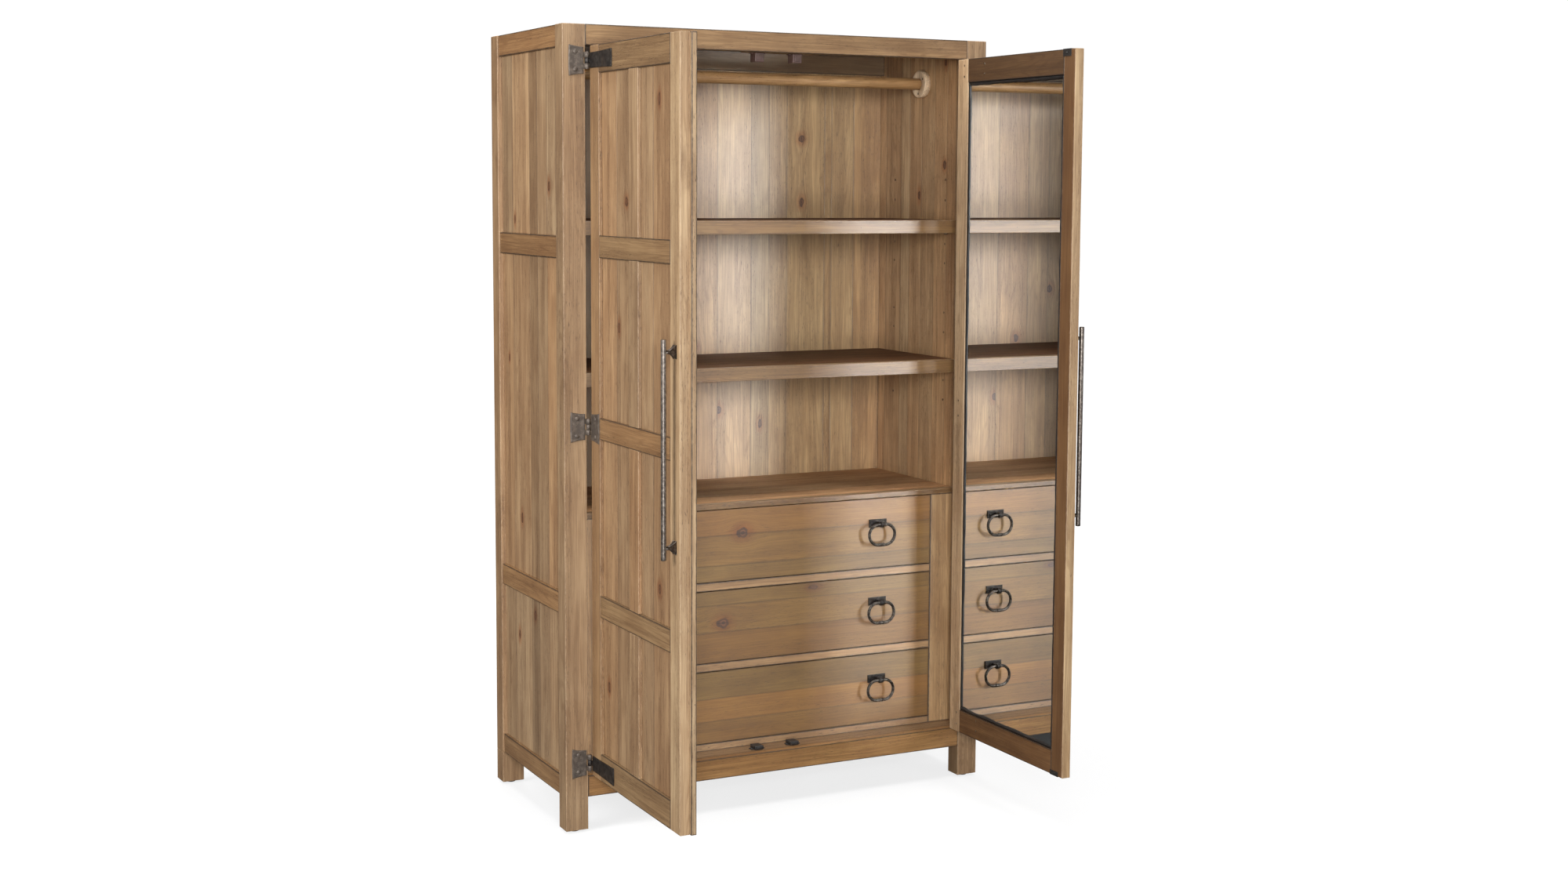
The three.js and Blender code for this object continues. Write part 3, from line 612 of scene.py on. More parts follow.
def build_rails_and_boards():
    for node, name, stain in (("top_rail", "head_rail", RAIL), ("apron", "base_rail", APRON)):
        rail = Joinery()
        rail.board(*spans(node), X, stain, GLAZED_AND_SHADED, bevel=1.2 * MM)
        rail.make(name, "case", "case_wood", [node])

    for node, name, stain in (("bottom_board", "base_board", BASE_LEDGE), ("top_panel", "head_board", RAIL)):
        x, y, z = spans(node)
        front_lip = (y[0], at_case(0, FRONT_POST_DEPTH, 0).y)
        between_posts = (x[0] + 28 * MM, x[1] - 28 * MM)
        board = Joinery()
        board.board(between_posts, front_lip, z, X, stain, PLAIN, bevel=0.3 * MM, lively=0.03)
        joints = [front_lip[1] + i * (y[1] - front_lip[1]) / 4 for i in range(5)]
        for plank in pairs(joints):
            board.board(x, plank, z, X, stain, PLAIN, bevel=0.4 * MM, lively=0.05)
        board.make(name, "case", "case_wood" if node == "top_panel" else "inner_wood", [node])

    x, y, z = spans("back_panel")
    planks_front = at_case(0, PLANKS_FRONT, 0).y
    tones = [0.95, 0.88, 1.0, 0.93, 1.02, 0.88, 0.95, 0.86, 0.86, 0.90, 0.98, 1.0, 0.92, 1.10, 0.92]
    panel = Joinery()
    for plank, tone in zip(pairs([x - CASE_X for x in BACK_JOINTS]), tones):
        stain = tuple(c * tone for c in BACK)
        panel.board(plank, (planks_front, y[1]), z, Z, stain, PLAIN, bevel=0.5 * MM, lively=0.07)
    cleat_level = (CLEAT_LEVEL, z[1] - 16 * MM)
    panel.board(x, (y[0], planks_front), cleat_level, X, RAIL, GLAZED_AND_SHADED, bevel=1.0 * MM)
    panel.make("back_planks", "case", "inner_wood", ["back_panel"], LACQUERED_WOOD)


def build_shelves():
    edge_depth = 26 * MM
    for node, name, stain in (("upper_shelf", "shelf_upper", SHELF), ("middle_shelf", "shelf_middle", SHELF),
                              ("drawer_deck", "deck", DECK)):
        x, y, z = spans(node)
        edge = Joinery()
        edge.board(x, (y[0], y[0] + edge_depth), z, X, SHELF_EDGE, RUBBED, bevel=1.2 * MM, lively=0.04)
        edge.make(f"{name}_edge", "case", "inner_wood", [node], LACQUERED_WOOD)
        shelf = Joinery()
        joints = [y[0] + edge_depth + i * (y[1] - y[0] - edge_depth) / 4 for i in range(5)]
        for plank in pairs(joints):
            shelf.board(x, plank, (z[0], z[1] - 0.1 * MM), X, stain, PLAIN, bevel=0.3 * MM, lively=0.06)
        shelf.make(name, "case", "inner_wood", [node], SHELF_WOOD)


def build_chest_frame():
    (x0, x1), (y0, y1), (z0, z1) = spans("drawer_frame")
    face = (y0, y0 + 22 * MM)
    stile = 78 * MM
    frame_piece = Joinery()
    # The stiles take a lighter copy of the frame's stain, as painted light
    for x in ((x0, x0 + stile), (x1 - stile, x1)):
        frame_piece.board(x, face, (z0, z1), Z, CHEST_STILE_PAINTED_LIGHT, GLAZED_AND_SHADED, bevel=0.8 * MM, lively=0.05)
    for i in (1, 2, 3):
        top = spans(f"drawer_front_{i}")[2][0] - 2 * MM
        level = (max(top - 22 * MM, z0), top)
        between = (x0 + stile, x1 - stile)
        frame_piece.board(between, face, level, X, CHEST_FRAME, GLAZED_AND_SHADED, bevel=0.7 * MM, lively=0.05)
        for x in ((x0, x0 + 118 * MM), (x1 - 118 * MM, x1)):
            frame_piece.board(x, (face[1], y1), level, Y, TRAY, PLAIN, bevel=0.6 * MM)
    frame_piece.make("chest_frame", "case", "inner_wood", ["drawer_frame"], LACQUERED_WOOD)


def lathe(profile, axis, origin, sides=32, closed=False):
    """A turned bmesh: profile holds (radius, place along the axis). With closed, it is a ring."""
    mesh = bmesh.new()
    a, b = [i for i in range(3) if i != axis]
    rings = []
    for radius, place in profile:
        ring = []
        for k in range(sides if radius > 0 else 1):
            turn = 2 * math.pi * k / sides
            p = Vector(origin)
            p[axis] += place
            p[a] += radius * math.cos(turn)
            p[b] += radius * math.sin(turn)
            ring.append(mesh.verts.new(p))
        rings.append(ring)
    steps = pairs(rings) + ([(rings[-1], rings[0])] if closed else [])
    for one, two in steps:
        for k in range(sides):
            n = (k + 1) % sides
            corners = [one[k % len(one)], one[n % len(one)], two[n % len(two)], two[k % len(two)]]
            mesh.faces.new(list(dict.fromkeys(corners)))
    bmesh.ops.recalc_face_normals(mesh, faces=mesh.faces)
    for f in mesh.faces:
        f.smooth = True
    return mesh


def build_rod():
    x, y, z = spans("hanging_rod")
    radius = (z[1] - z[0]) / 2
    middle = Vector((0, sum(y) / 2, sum(z) / 2))
    edge = 1.0 * MM
    ends = [(0, x[0]), (radius - edge, x[0]), (radius, x[0] + edge)]
    steps = [(radius, x[0] + (x[1] - x[0]) * k / 16) for k in range(1, 16)]
    profile = ends + steps + [(r, -place) for r, place in ends[::-1]]
    rod = Joinery()
    turned = lathe(profile, X, middle, 48)
    rod.take(turned, (X, Z, Y), ROD, PLAIN, 0.0)
    rod.make("rod", "case", "inner_wood", ["hanging_rod"])
    turned.free()
    for side, sign in SIDES.items():
        x, y, z = spans(f"rod_cup_{side}")
        wall, open_face = (x[0], x[1]) if sign < 0 else (x[1], x[0])
        outer, bore, soft = (z[1] - z[0]) / 2, 17 * MM, 3.5 * MM
        thick = open_face - wall
        profile = [(0, 0), (outer, 0)]
        for k in range(7):
            turn = math.pi / 2 * k / 6
            drop = math.copysign(soft * (1 - math.sin(turn)), thick)
            profile.append((outer - soft + soft * math.cos(turn), thick - drop))
        profile += [(bore + 0.8 * MM, thick), (bore, thick - math.copysign(0.8 * MM, thick))]
        floor = math.copysign(5 * MM, thick)
        profile += [(bore, floor), (0, floor)]
        turned = lathe(profile, X, (wall, middle.y, middle.z), 56)
        cup = Joinery()
        cup.take(turned, (Z, Y, X), CUP, RUBBED, 0.0)
        cup.make(f"cup_{side}", "case", "inner_wood", [f"rod_cup_{side}"])
        turned.free()
        heads = Ironwork()
        sunk = wall + thick - math.copysign(0.3 * MM, thick)
        circle = 27 * MM
        for degrees in (30, 150, 270):
            turn = math.radians(degrees)
            spot = (sunk, middle.y + circle * math.cos(turn), middle.z + circle * math.sin(turn))
            heads.screw(spot, Vector((-sign, 0, 0)), 3.4 * MM, 1.0 * MM)
        heads.make(f"cup_screws_{side}", "case", "steel", (), SCREW_STEEL)


# ------------------------------------------------------------------------------------------ drawers


def build_drawers():
    for i in (1, 2, 3):
        x, y, z = spans(f"drawer_front_{i}")
        front = Joinery()
        cuts = [z[0]] + [z[0] + share * (z[1] - z[0]) for share in DRAWER_CUTS[i]] + [z[1]]
        for strip in pairs(cuts):
            front.board(x, y, strip, X, DRAWER, PLAIN, bevel=0.25 * MM, lively=0.11)
        front.make(f"front_{i}", f"drawer_{i}", "drawer_wood", [f"drawer_front_{i}"], DRAWER_WOOD)

        x, y, z = spans(f"drawer_box_{i}")
        wall, bottom = 12 * MM, 10 * MM
        tray = Joinery()
        for side in ((x[0], x[0] + wall), (x[1] - wall, x[1])):
            tray.board(side, y, z, Y, TRAY, PLAIN, bevel=1.2 * MM, lively=0.05)
        inner = (x[0] + wall, x[1] - wall)
        for end in ((y[0], y[0] + wall), (y[1] - wall, y[1])):
            tray.board(inner, end, z, X, TRAY, PLAIN, bevel=1.2 * MM, lively=0.05)
        floor = (y[0] + wall, y[1] - wall)
        tray.board(inner, floor, (z[0], z[0] + bottom), X, TRAY, PLAIN, bevel=0.4 * MM, lively=0.05)
        tray.make(f"tray_{i}", f"drawer_{i}", "drawer_box_wood", [f"drawer_box_{i}"], TRAY_WOOD)


# -------------------------------------------------------------------------------------------- doors


def door_layer(side):
    """Spans on a door: from (u, u, o, o) in mm to x and y spans. u runs from its hinge edge, o inwards."""
    sign = SIDES[side]
    (x0, x1), (y0, y1), _ = spans(f"door_frame_{side}")
    face = x0 if sign < 0 else x1
    edge = y1

    def place(u0, u1, o0, o1):
        xs = sorted((face - sign * o0 * MM, face - sign * o1 * MM))
        return tuple(xs), (edge - u1 * MM, edge - u0 * MM)

    return place


def build_doors():
    low_end, high_end = DOOR_FIELDS[0][0], DOOR_FIELDS[-1][1]
    hinge_stile = ((0, STILE_EDGES[0]), (0, LIP_EDGES[0]), STILE_STAIN_AND_PAINTED_LIGHT)
    lead_stile = ((STILE_EDGES[1], STRIP_START), (LIP_EDGES[1], STRIP_START), LEAD_STILE_STAIN_AND_PAINTED_SHADE)
    for side in SIDES:
        place = door_layer(side)
        _, _, (z0, z1) = spans(f"door_frame_{side}")
        leaf = Joinery()
        strip = place(STRIP_START, DOOR_WIDTH, 0, DOOR_DEPTH)
        leaf.board(*strip, (z0, z1), Z, LEAD_EDGE[side], RUBBED, bevel=0.9 * MM, lively=0.03)
        inner = "mirror" if side == "right" else "plain"
        # On the mirror door's inner face the stiles carry painted light and shade: the hinge stile paler, the
        # lead stile darker
        for edges, lips, stain in (hinge_stile, lead_stile):
            outside = place(*edges, 0, FACE_DEPTH)
            inside = place(*lips, FACE_DEPTH, DOOR_DEPTH)
            leaf.board(*outside, (z0, z1), Z, stain["plain"], RUBBED, bevel=1.1 * MM, lively=0.03)
            leaf.board(*inside, (z0, z1), Z, stain[inner], RUBBED, bevel=1.1 * MM, lively=0.03)
        across = place(*STILE_EDGES, 0, FACE_DEPTH)
        across_inside = place(*LIP_EDGES, FACE_DEPTH, DOOR_DEPTH)
        for end, level, back_level in (("low", (z0, low_end), (z0, low_end - RABBET)),
                                       ("high", (high_end, z1), (high_end + RABBET, z1))):
            leaf.board(*across, level, Y, RAIL, GLAZED_AND_SHADED, bevel=0.8 * MM)
            # Painted light and shade on the mirror door's inner rails, the top one darker than the bottom
            stain = MIRROR_RAIL_PAINTED_LIGHT_AND_SHADE[end] if inner == "mirror" else RAIL
            leaf.board(*across_inside, back_level, Y, stain, GLAZED_AND_SHADED, bevel=0.8 * MM)
        for level in DOOR_FIELDS:
            leaf.board(*place(*MULLION, 0, FACE_DEPTH), level, Z, FIELD, RUBBED, bevel=1.2 * MM)
        for (_, low), (high, _) in pairs(DOOR_FIELDS):
            leaf.board(*across, (low, high), Y, RAIL, GLAZED_AND_SHADED, bevel=1.0 * MM)
        leaf.make(f"leaf_{side}", f"door_{side}", "case_wood", [f"door_frame_{side}"])

        _, _, level = spans(f"door_panel_{side}")
        panel = Joinery()
        for u0, u1 in pairs(DOOR_JOINTS):
            plank = place(u0 / MM + 0.5, u1 / MM, *PANEL_DEPTHS)
            panel.board(*plank, level, Z, FIELD, PLAIN, bevel=0.6 * MM, lively=0.07)
        panel.make(f"leaf_panel_{side}", f"door_{side}", "case_wood", [f"door_panel_{side}"])

    lip = Joinery()
    lip.board(*spans("astragal"), Z, LEAD_EDGE["left"], GLAZED_AND_SHADED, bevel=1.2 * MM, lively=0.02)
    lip.make("lip", "door_left", "case_wood", ["astragal"])


def rounded_block(x, y, z, bevel, segments=3):
    """A box filling three spans, its edges rounded, as a bmesh."""
    part = bmesh.new()
    bmesh.ops.create_cube(part, size=1.0)
    for v in part.verts:
        v.co = Vector([min(span) if c < 0 else max(span) for c, span in zip(v.co, (x, y, z))])
    bmesh.ops.bevel(part, geom=part.edges[:], offset=bevel, segments=segments, profile=0.5, affect="EDGES")
    return part


def build_mirror():
    x, y, z = spans("mirror")
    mesh = rounded_block(x, y, z, 0.8 * MM, segments=2)
    data = bpy.data.meshes.new("looking_glass")
    mesh.to_mesh(data)
    mesh.free()
    data.materials.append(GLASS)
    settle(bpy.data.objects.new("looking_glass", data), "door_right", ["mirror"])

    inner_face = x[0]
    strip = Ironwork()
    for low, high, other, vertical in ((y[0], y[1], z[0], False), (y[0], y[1], z[1], False),
                                       (z[0], z[1], y[0], True), (z[0], z[1], y[1], True)):
        inwards = 1 if other in (z[0], y[0]) else -1
        strip.bead(inner_face, low, high, other, inwards, vertical)
    strip.make("glass_retainer", "door_right", "mirror", (), RUBBER)


# ----------------------------------------------------------------------------------------- ironwork


class Ironwork:
    """Metal and plastic fittings gathered into one mesh."""

    def __init__(self):
        self.mesh = bmesh.new()

    def add(self, part):
        """Takes another bmesh in."""
        data = bpy.data.meshes.new("part")
        part.to_mesh(data)
        part.free()
        self.mesh.from_mesh(data)
        bpy.data.meshes.remove(data)

    def leaf(self, origin, along, up, out, length, height, waist, thickness, bow, depth):
        """A hammered plate. Its half height grows from waist to height along its length, and its end bows."""
        part = bmesh.new()
        rim = 0.9 * MM
        count_s, count_v = max(6, round(length / (2.6 * MM))), max(6, round(height / (3.2 * MM)))
        steps_s = [0.0, rim / length] + [k / count_s for k in range(1, count_s)] + [1 - rim / length, 1.0]
        steps_v = [-1.0, -1 + 2 * rim / height]
        steps_v += [2 * k / count_v - 1 for k in range(1, count_v)]
        steps_v += [1 - 2 * rim / height, 1.0]
        grid = []
        for i, s in enumerate(steps_s):
            half = height / 2 * (waist + (1 - waist) * s ** 1.8)
            row = []
            for j, v in enumerate(steps_v):
                border = i in (0, len(steps_s) - 1) or j in (0, len(steps_v) - 1)
                reach = s * length + bow * (1 - v * v) * s ** 6
                flat = origin + along * reach + up * (half * v)
                dent = noise.noise(flat * 95.0) * 0.5 + noise.noise(flat * 240.0) * 0.25
                top = thickness - (0.75 * MM if border else depth * max(0.0, 0.35 + dent))
                row.append(part.verts.new(flat + out * top))
            grid.append(row)
        for i in range(len(steps_s) - 1):
            for j in range(len(steps_v) - 1):
                face = part.faces.new((grid[i][j], grid[i + 1][j], grid[i + 1][j + 1], grid[i][j + 1]))
                face.smooth = True
        rim_loop = [row[0] for row in grid] + grid[-1][1:]
        rim_loop += [row[-1] for row in grid[::-1]][1:] + grid[0][::-1][1:-1]
        bottom = []
        for v in rim_loop:
            height_here = (v.co - origin).dot(out)
            bottom.append(part.verts.new(v.co - out * height_here))
        for k in range(len(rim_loop)):
            n = (k + 1) % len(rim_loop)
            part.faces.new((rim_loop[k], rim_loop[n], bottom[n], bottom[k]))
        part.faces.new(bottom)
        bmesh.ops.recalc_face_normals(part, faces=part.faces)
        self.add(part)

    def turned(self, profile, axis, origin, sides=24, closed=False):
        self.add(lathe(profile, axis, origin, sides, closed))

    def screw(self, spot, out, radius, rise, sides=14):
        """A domed head standing on spot, pointing along out."""
        axis = max(range(3), key=lambda i: abs(out[i]))
        sign = 1 if out[axis] > 0 else -1
        profile = [(0, -0.4 * MM * sign), (radius, -0.4 * MM * sign), (radius, 0.22 * rise * sign)]
        for k in range(1, 5):
            turn = math.pi / 2 * k / 5
            profile.append((radius * math.cos(turn), rise * (0.22 + 0.78 * math.sin(turn)) * sign))
        profile.append((0, rise * sign))
        self.turned(profile, axis, spot, sides)

    def block(self, x, y, z, bevel):
        self.add(rounded_block(x, y, z, bevel))

    def bead(self, face_x, low, high, other, inwards, vertical):
        """A strip of dark sealant along one edge of the glass, its inner edge wavy."""
        part = bmesh.new()
        steps = max(4, round((high - low) / (9 * MM)))
        section = ((0.0, 0.0), (0.0, 2.2), (0.35, 3.1), (0.75, 2.6), (1.0, 0.0))
        rings = []
        for k in range(steps + 1):
            place = low + (high - low) * k / steps
            slow = noise.noise(Vector((place * 16.0, other * 5.0, 0.3))) * 3.2
            quick = noise.noise(Vector((place * 55.0, 0.0, other))) * 1.2
            wave = slow + quick
            width = (9.5 + wave) * MM
            ring = []
            for across, rise in section:
                b = other + inwards * across * width
                x = face_x - rise * MM
                ring.append(part.verts.new((x, b, place) if vertical else (x, place, b)))
            rings.append(ring)
        for one, two in pairs(rings):
            for k in range(len(section)):
                n = (k + 1) % len(section)
                part.faces.new((one[k], one[n], two[n], two[k])).smooth = True
        part.faces.new(rings[0])
        part.faces.new(rings[-1])
        bmesh.ops.recalc_face_normals(part, faces=part.faces)
        self.add(part)

    def make(self, name, body, slot, replaced, material):
        data = bpy.data.meshes.new(name)
        self.mesh.to_mesh(data)
        self.mesh.free()
        data.materials.append(material)
        return settle(bpy.data.objects.new(name, data), body, replaced)


def knuckle(work, x, y, low, high, radius):
    soft = 0.7 * MM
    profile = [(0, low), (radius - soft, low), (radius, low + soft),
               (radius, high - soft), (radius - soft, high), (0, high)]
    work.turned(profile, Z, (x, y, 0), 28)


def build_hinges():
    gap = HINGE_GAP
    for side, sign in SIDES.items():
        axis_x = sign * (CASE_X - 61.5 * MM)
        axis_y = CASE_Y - 7.5 * MM
        for level in ("bottom", "middle", "top"):
            node = f"hinge_post_{level}_{side}"
            _, _, z = spans(node)
            middle = sum(z) / 2
            post = Ironwork()
            start = Vector((sign * (CASE_X - 54.5 * MM), CASE_Y - gap, middle))
            post.leaf(start, Vector((sign, 0, 0)), UP, FORWARD, 37.5 * MM, 76 * MM, **HINGE_LEAF)
            for low, high in POST_KNUCKLES:
                level_z = (middle + low * MM, middle + high * MM)
                knuckle(post, axis_x, axis_y, *level_z, BARREL_RADIUS)
                x = (sign * (CASE_X - 55.5 * MM), axis_x)
                post.block(x, (CASE_Y - gap - 3 * MM, CASE_Y - gap), level_z, 0.5 * MM)
            for end in (-1, 1):
                tip = 0.8 * MM
                profile = [(0, 0), (3.6 * MM, 0), (3.6 * MM, 0.5 * tip * end),
                           (3.0 * MM, tip * end), (0, tip * end)]
                post.turned(profile, Z, (axis_x, axis_y, middle + end * 20.4 * MM), 20)
            knuckle(post, axis_x, axis_y, middle - 7.4 * MM, middle + 7.4 * MM, 2.5 * MM)
            for end in (-1, 1):
                spot = Vector((sign * (CASE_X - 33 * MM), CASE_Y - gap - 2.6 * MM, middle + end * 22 * MM))
                post.screw(spot, FORWARD, *HINGE_SCREW)
            post.make(f"strap_post_{level}_{side}", "case", "iron", [node], IRON)

            node = f"hinge_door_{level}_{side}"
            _, y, z = spans(node)
            middle = sum(z) / 2
            short = level == "middle"
            length = (53 if short else 143) * MM
            height = (76 if short else 44) * MM
            face = spans(f"door_frame_{side}")[0][0 if sign < 0 else 1]
            hinge_edge = spans(f"door_frame_{side}")[1][1]
            start_y = axis_y - 6.5 * MM
            door = Ironwork()
            start = Vector((face + sign * gap, start_y, middle))
            reach = length - (hinge_edge - start_y)
            door.leaf(start, FORWARD, UP, Vector((sign, 0, 0)), reach, height, **HINGE_LEAF)
            level_z = (middle - KNUCKLE_HALF, middle + KNUCKLE_HALF)
            knuckle(door, axis_x, axis_y, *level_z, BARREL_RADIUS)
            x = (face + sign * gap, face + sign * (gap + 3 * MM))
            door.block(x, (start_y - 1 * MM, axis_y), level_z, 0.5 * MM)
            if short:
                for end in (-1, 1):
                    spot = Vector((face + sign * (gap + 2.6 * MM), start_y - 26 * MM, middle + end * 22 * MM))
                    door.screw(spot, Vector((sign, 0, 0)), *HINGE_SCREW)
            finish = IRON if short else STRAP_IRON
            door.make(f"strap_door_{level}_{side}", f"door_{side}", "iron", [node], finish)


def build_pulls():
    for side, sign in SIDES.items():
        node = f"pull_{side}"
        x, y, z = spans(node)
        face = spans(f"door_frame_{side}")[0][0 if sign < 0 else 1] + sign * 0.3 * MM
        radius = 6.5 * MM
        axis_x = x[0] + radius if sign < 0 else x[1] - radius
        axis_y = sum(y) / 2
        middle = sum(z) / 2
        length = z[1] - z[0]
        work = Ironwork()
        profile = [(0, -length / 2), (radius - 1.6 * MM, -length / 2),
                   (radius - 0.4 * MM, -length / 2 + 0.6 * MM)]
        count = 84
        for k in range(count + 1):
            place = -length / 2 + 2 * MM + (length - 4 * MM) * k / count
            beat = abs(noise.noise(Vector((place * 60.0, sign, 0.7)))) * 0.20 * MM
            profile.append((radius - beat, place))
        profile += [(radius - 0.4 * MM, length / 2 - 0.6 * MM),
                    (radius - 1.6 * MM, length / 2), (0, length / 2)]
        bar = lathe(profile, Z, (axis_x, axis_y, middle), 24)
        for v in bar.verts:
            away = Vector((v.co.x - axis_x, v.co.y - axis_y, 0))
            v.co -= away * max(0.0, noise.noise(v.co * 110.0)) * 0.03
        work.add(bar)
        for end in (-1, 1):
            spot = Vector((face, axis_y, middle + end * PULL_POST_OFFSET))
            work.add(flared_post(spot, sign, abs(face - axis_x)))
        work.make(f"bar_pull_{side}", f"door_{side}", "iron", [node], PULL_STEEL)


def flared_post(spot, sign, length):
    """A square post that narrows in a curve from a tall foot on the door to its neck."""
    neck, foot_high, foot_wide = 4.2 * MM, 16.5 * MM, 9.5 * MM
    flare, edge = 18 * MM, 1.5 * MM
    part = bmesh.new()
    rings = []
    places = [0.0, edge] + [edge + (flare - edge) * k / 9 for k in range(1, 10)] + [length]
    for place in places:
        share = min(1.0, max(0.0, (flare - place) / (flare - edge))) ** 1.75
        high, wide = neck + (foot_high - neck) * share, neck + (foot_wide - neck) * share
        soft = 0.16 * min(high, wide)
        ring = []
        for cy, cz in ((1, 1), (-1, 1), (-1, -1), (1, -1)):
            corner = [(wide - soft, high), (wide, high - soft)]
            if cy * cz < 0:
                corner.reverse()
            for dy, dz in corner:
                ring.append(part.verts.new(spot + Vector((sign * place, cy * dy, cz * dz))))
        rings.append(ring)
    for one, two in pairs(rings):
        for k in range(8):
            n = (k + 1) % 8
            part.faces.new((one[k], one[n], two[n], two[k])).smooth = k % 2 == 1
    part.faces.new(rings[0])
    part.faces.new(rings[-1])
    bmesh.ops.recalc_face_normals(part, faces=part.faces)
    return part


def build_rings():
    for i in (1, 2, 3):
        for side in SIDES:
            build_bracket(i, side)
            build_ring(i, side)


def build_bracket(i, side):
    node = f"ring_bracket_{i}_{side}"
    x, y, z = spans(node)
    middle = sum(x) / 2
    plate_front = y[1] - 4 * MM
    eye = Vector((middle, y[0] + 8 * MM, z[1] - 11 * MM))
    work = Ironwork()
    start = Vector((x[0], y[1], (z[0] + z[1]) / 2))
    work.leaf(start, Vector((1, 0, 0)), UP, FORWARD, x[1] - x[0], z[1] - z[0],
              waist=1.0, thickness=4 * MM, bow=0.0, depth=0.4 * MM)
    work.block((middle - 4.5 * MM, middle + 4.5 * MM), (eye.y + 5 * MM, plate_front + 1 * MM),
               (eye.z - 4.4 * MM, eye.z + 4.4 * MM), 1.0 * MM)
    outer, bore, half, soft = 8 * MM, 4.7 * MM, 6 * MM, 1.0 * MM
    profile = [(bore, -half), (outer - soft, -half), (outer, -half + soft),
               (outer, half - soft), (outer - soft, half), (bore, half)]
    work.turned(profile, X, eye, 28, closed=True)
    for end in (-1, 1):
        spot = Vector((middle + end * 19 * MM, plate_front + 0.3 * MM, z[0] + 11 * MM))
        work.screw(spot, FORWARD, 3.6 * MM, 1.6 * MM)
    work.make(f"ring_plate_{i}_{side}", f"drawer_{i}", "iron", [node], STRAP_IRON)


def build_ring(i, side):
    """The ring: an oval of round steel, with collars beside its eye and a beaded one at its foot."""
    node = f"ring_{i}_{side}"
    x, y, z = spans(node)
    wire, bend, straight = 4 * MM, 28 * MM, 11.5 * MM
    middle = Vector((sum(x) / 2, sum(y) / 2, sum(z) / 2))
    path = []
    for sign in (1, -1):
        for k in range(37):
            turn = sign * math.pi / 2 - math.pi * k / 36
            path.append(Vector((sign * straight + bend * math.cos(turn), 0, bend * math.sin(turn))))
        path += [Vector((sign * (k - 9.5) / 9.5 * straight, 0, -sign * bend)) for k in range(1, 19)]
    part = bmesh.new()
    rings = []
    count = len(path)
    sides = 18
    for k, point in enumerate(path):
        tangent = (path[(k + 1) % count] - path[k - 1]).normalized()
        inward = tangent.cross(Vector((0, 1, 0)))
        top, low = point.z > 0, point.z < 0
        from_middle = abs(point.x)
        radius = wire
        if low and abs(point.z) > bend * 0.98:
            radius += 1.3 * MM * math.exp(-((from_middle - 4.6 * MM) / (1.1 * MM)) ** 2)
            radius += 0.5 * MM * math.exp(-(from_middle / (2.2 * MM)) ** 2)
        if top and abs(point.z) > bend * 0.98:
            radius += 1.2 * MM * math.exp(-((from_middle - 8.6 * MM) / (1.2 * MM)) ** 2)
        radius += 0.04 * MM * noise.noise(point * 120.0 + Vector((i, 0, 0)))
        ring = []
        for j in range(sides):
            turn = 2 * math.pi * j / sides
            aside = Vector((0, radius * math.sin(turn), 0))
            ring.append(part.verts.new(middle + point + inward * (radius * math.cos(turn)) + aside))
        rings.append(ring)
    for k in range(count):
        one, two = rings[k], rings[(k + 1) % count]
        for j in range(sides):
            n = (j + 1) % sides
            part.faces.new((one[j], two[j], two[n], one[n])).smooth = True
    bmesh.ops.recalc_face_normals(part, faces=part.faces)
    work = Ironwork()
    work.add(part)
    work.make(f"ring_pull_{i}_{side}", f"ring_{i}_{side}", "steel", [node], RING_STEEL)


# ------------------------------------------------------------------------------------ small fittings


def build_catches():
    """Catches under the head rail and on the base board, each with a screwed flange and a nose."""
    under = spans("top_rail")[2][0]
    ledge = spans("apron")[2][1]
    for name, level, direction, places, tall, material in (
        ("upper_catches", under, -1, (0.551, 0.660), 24 * MM, BROWN_PLASTIC),
        ("lower_catches", ledge, 1, (0.558, 0.664), 11 * MM, BLACK_PLASTIC),
    ):
        work = Ironwork()
        for place in places:
            spot = at_case(place, 0.0435, level)
            work.block((spot.x - 20 * MM, spot.x + 20 * MM), (spot.y - 7 * MM, spot.y + 9 * MM),
                       (level, level + direction * 3 * MM), 1.0 * MM)
            work.block((spot.x - 13 * MM, spot.x + 13 * MM), (spot.y - 15 * MM, spot.y + 15 * MM),
                       (level + direction * 0.2 * MM, level + direction * tall), 2.0 * MM)
            work.block((spot.x - 7 * MM, spot.x + 7 * MM), (spot.y - 17 * MM, spot.y - 12 * MM),
                       (level + direction * 5 * MM, level + direction * (tall - 4 * MM)), 1.2 * MM)
            for end in (-1, 1):
                screw_spot = Vector((spot.x + end * 16 * MM, spot.y + 1 * MM, level + direction * 2.8 * MM))
                work.screw(screw_spot, Vector((0, 0, direction)), 2.6 * MM, 1.0 * MM)
        work.make(name, "case", "glide", (), material)


def build_catch_block():
    """The strip behind the head rail that carries the upper catches."""
    rail_x, rail_y, rail_z = spans("top_rail")
    ceiling = spans("top_panel")[2][0]
    middle = sum(rail_x) / 2
    strip = Joinery()
    depth = (rail_y[1], rail_y[1] + 32 * MM)
    strip.board((middle - 0.10, middle + 0.12), depth, (rail_z[0], ceiling), X, RAIL, PLAIN)
    strip.make("catch_block", "case", "inner_wood", ())


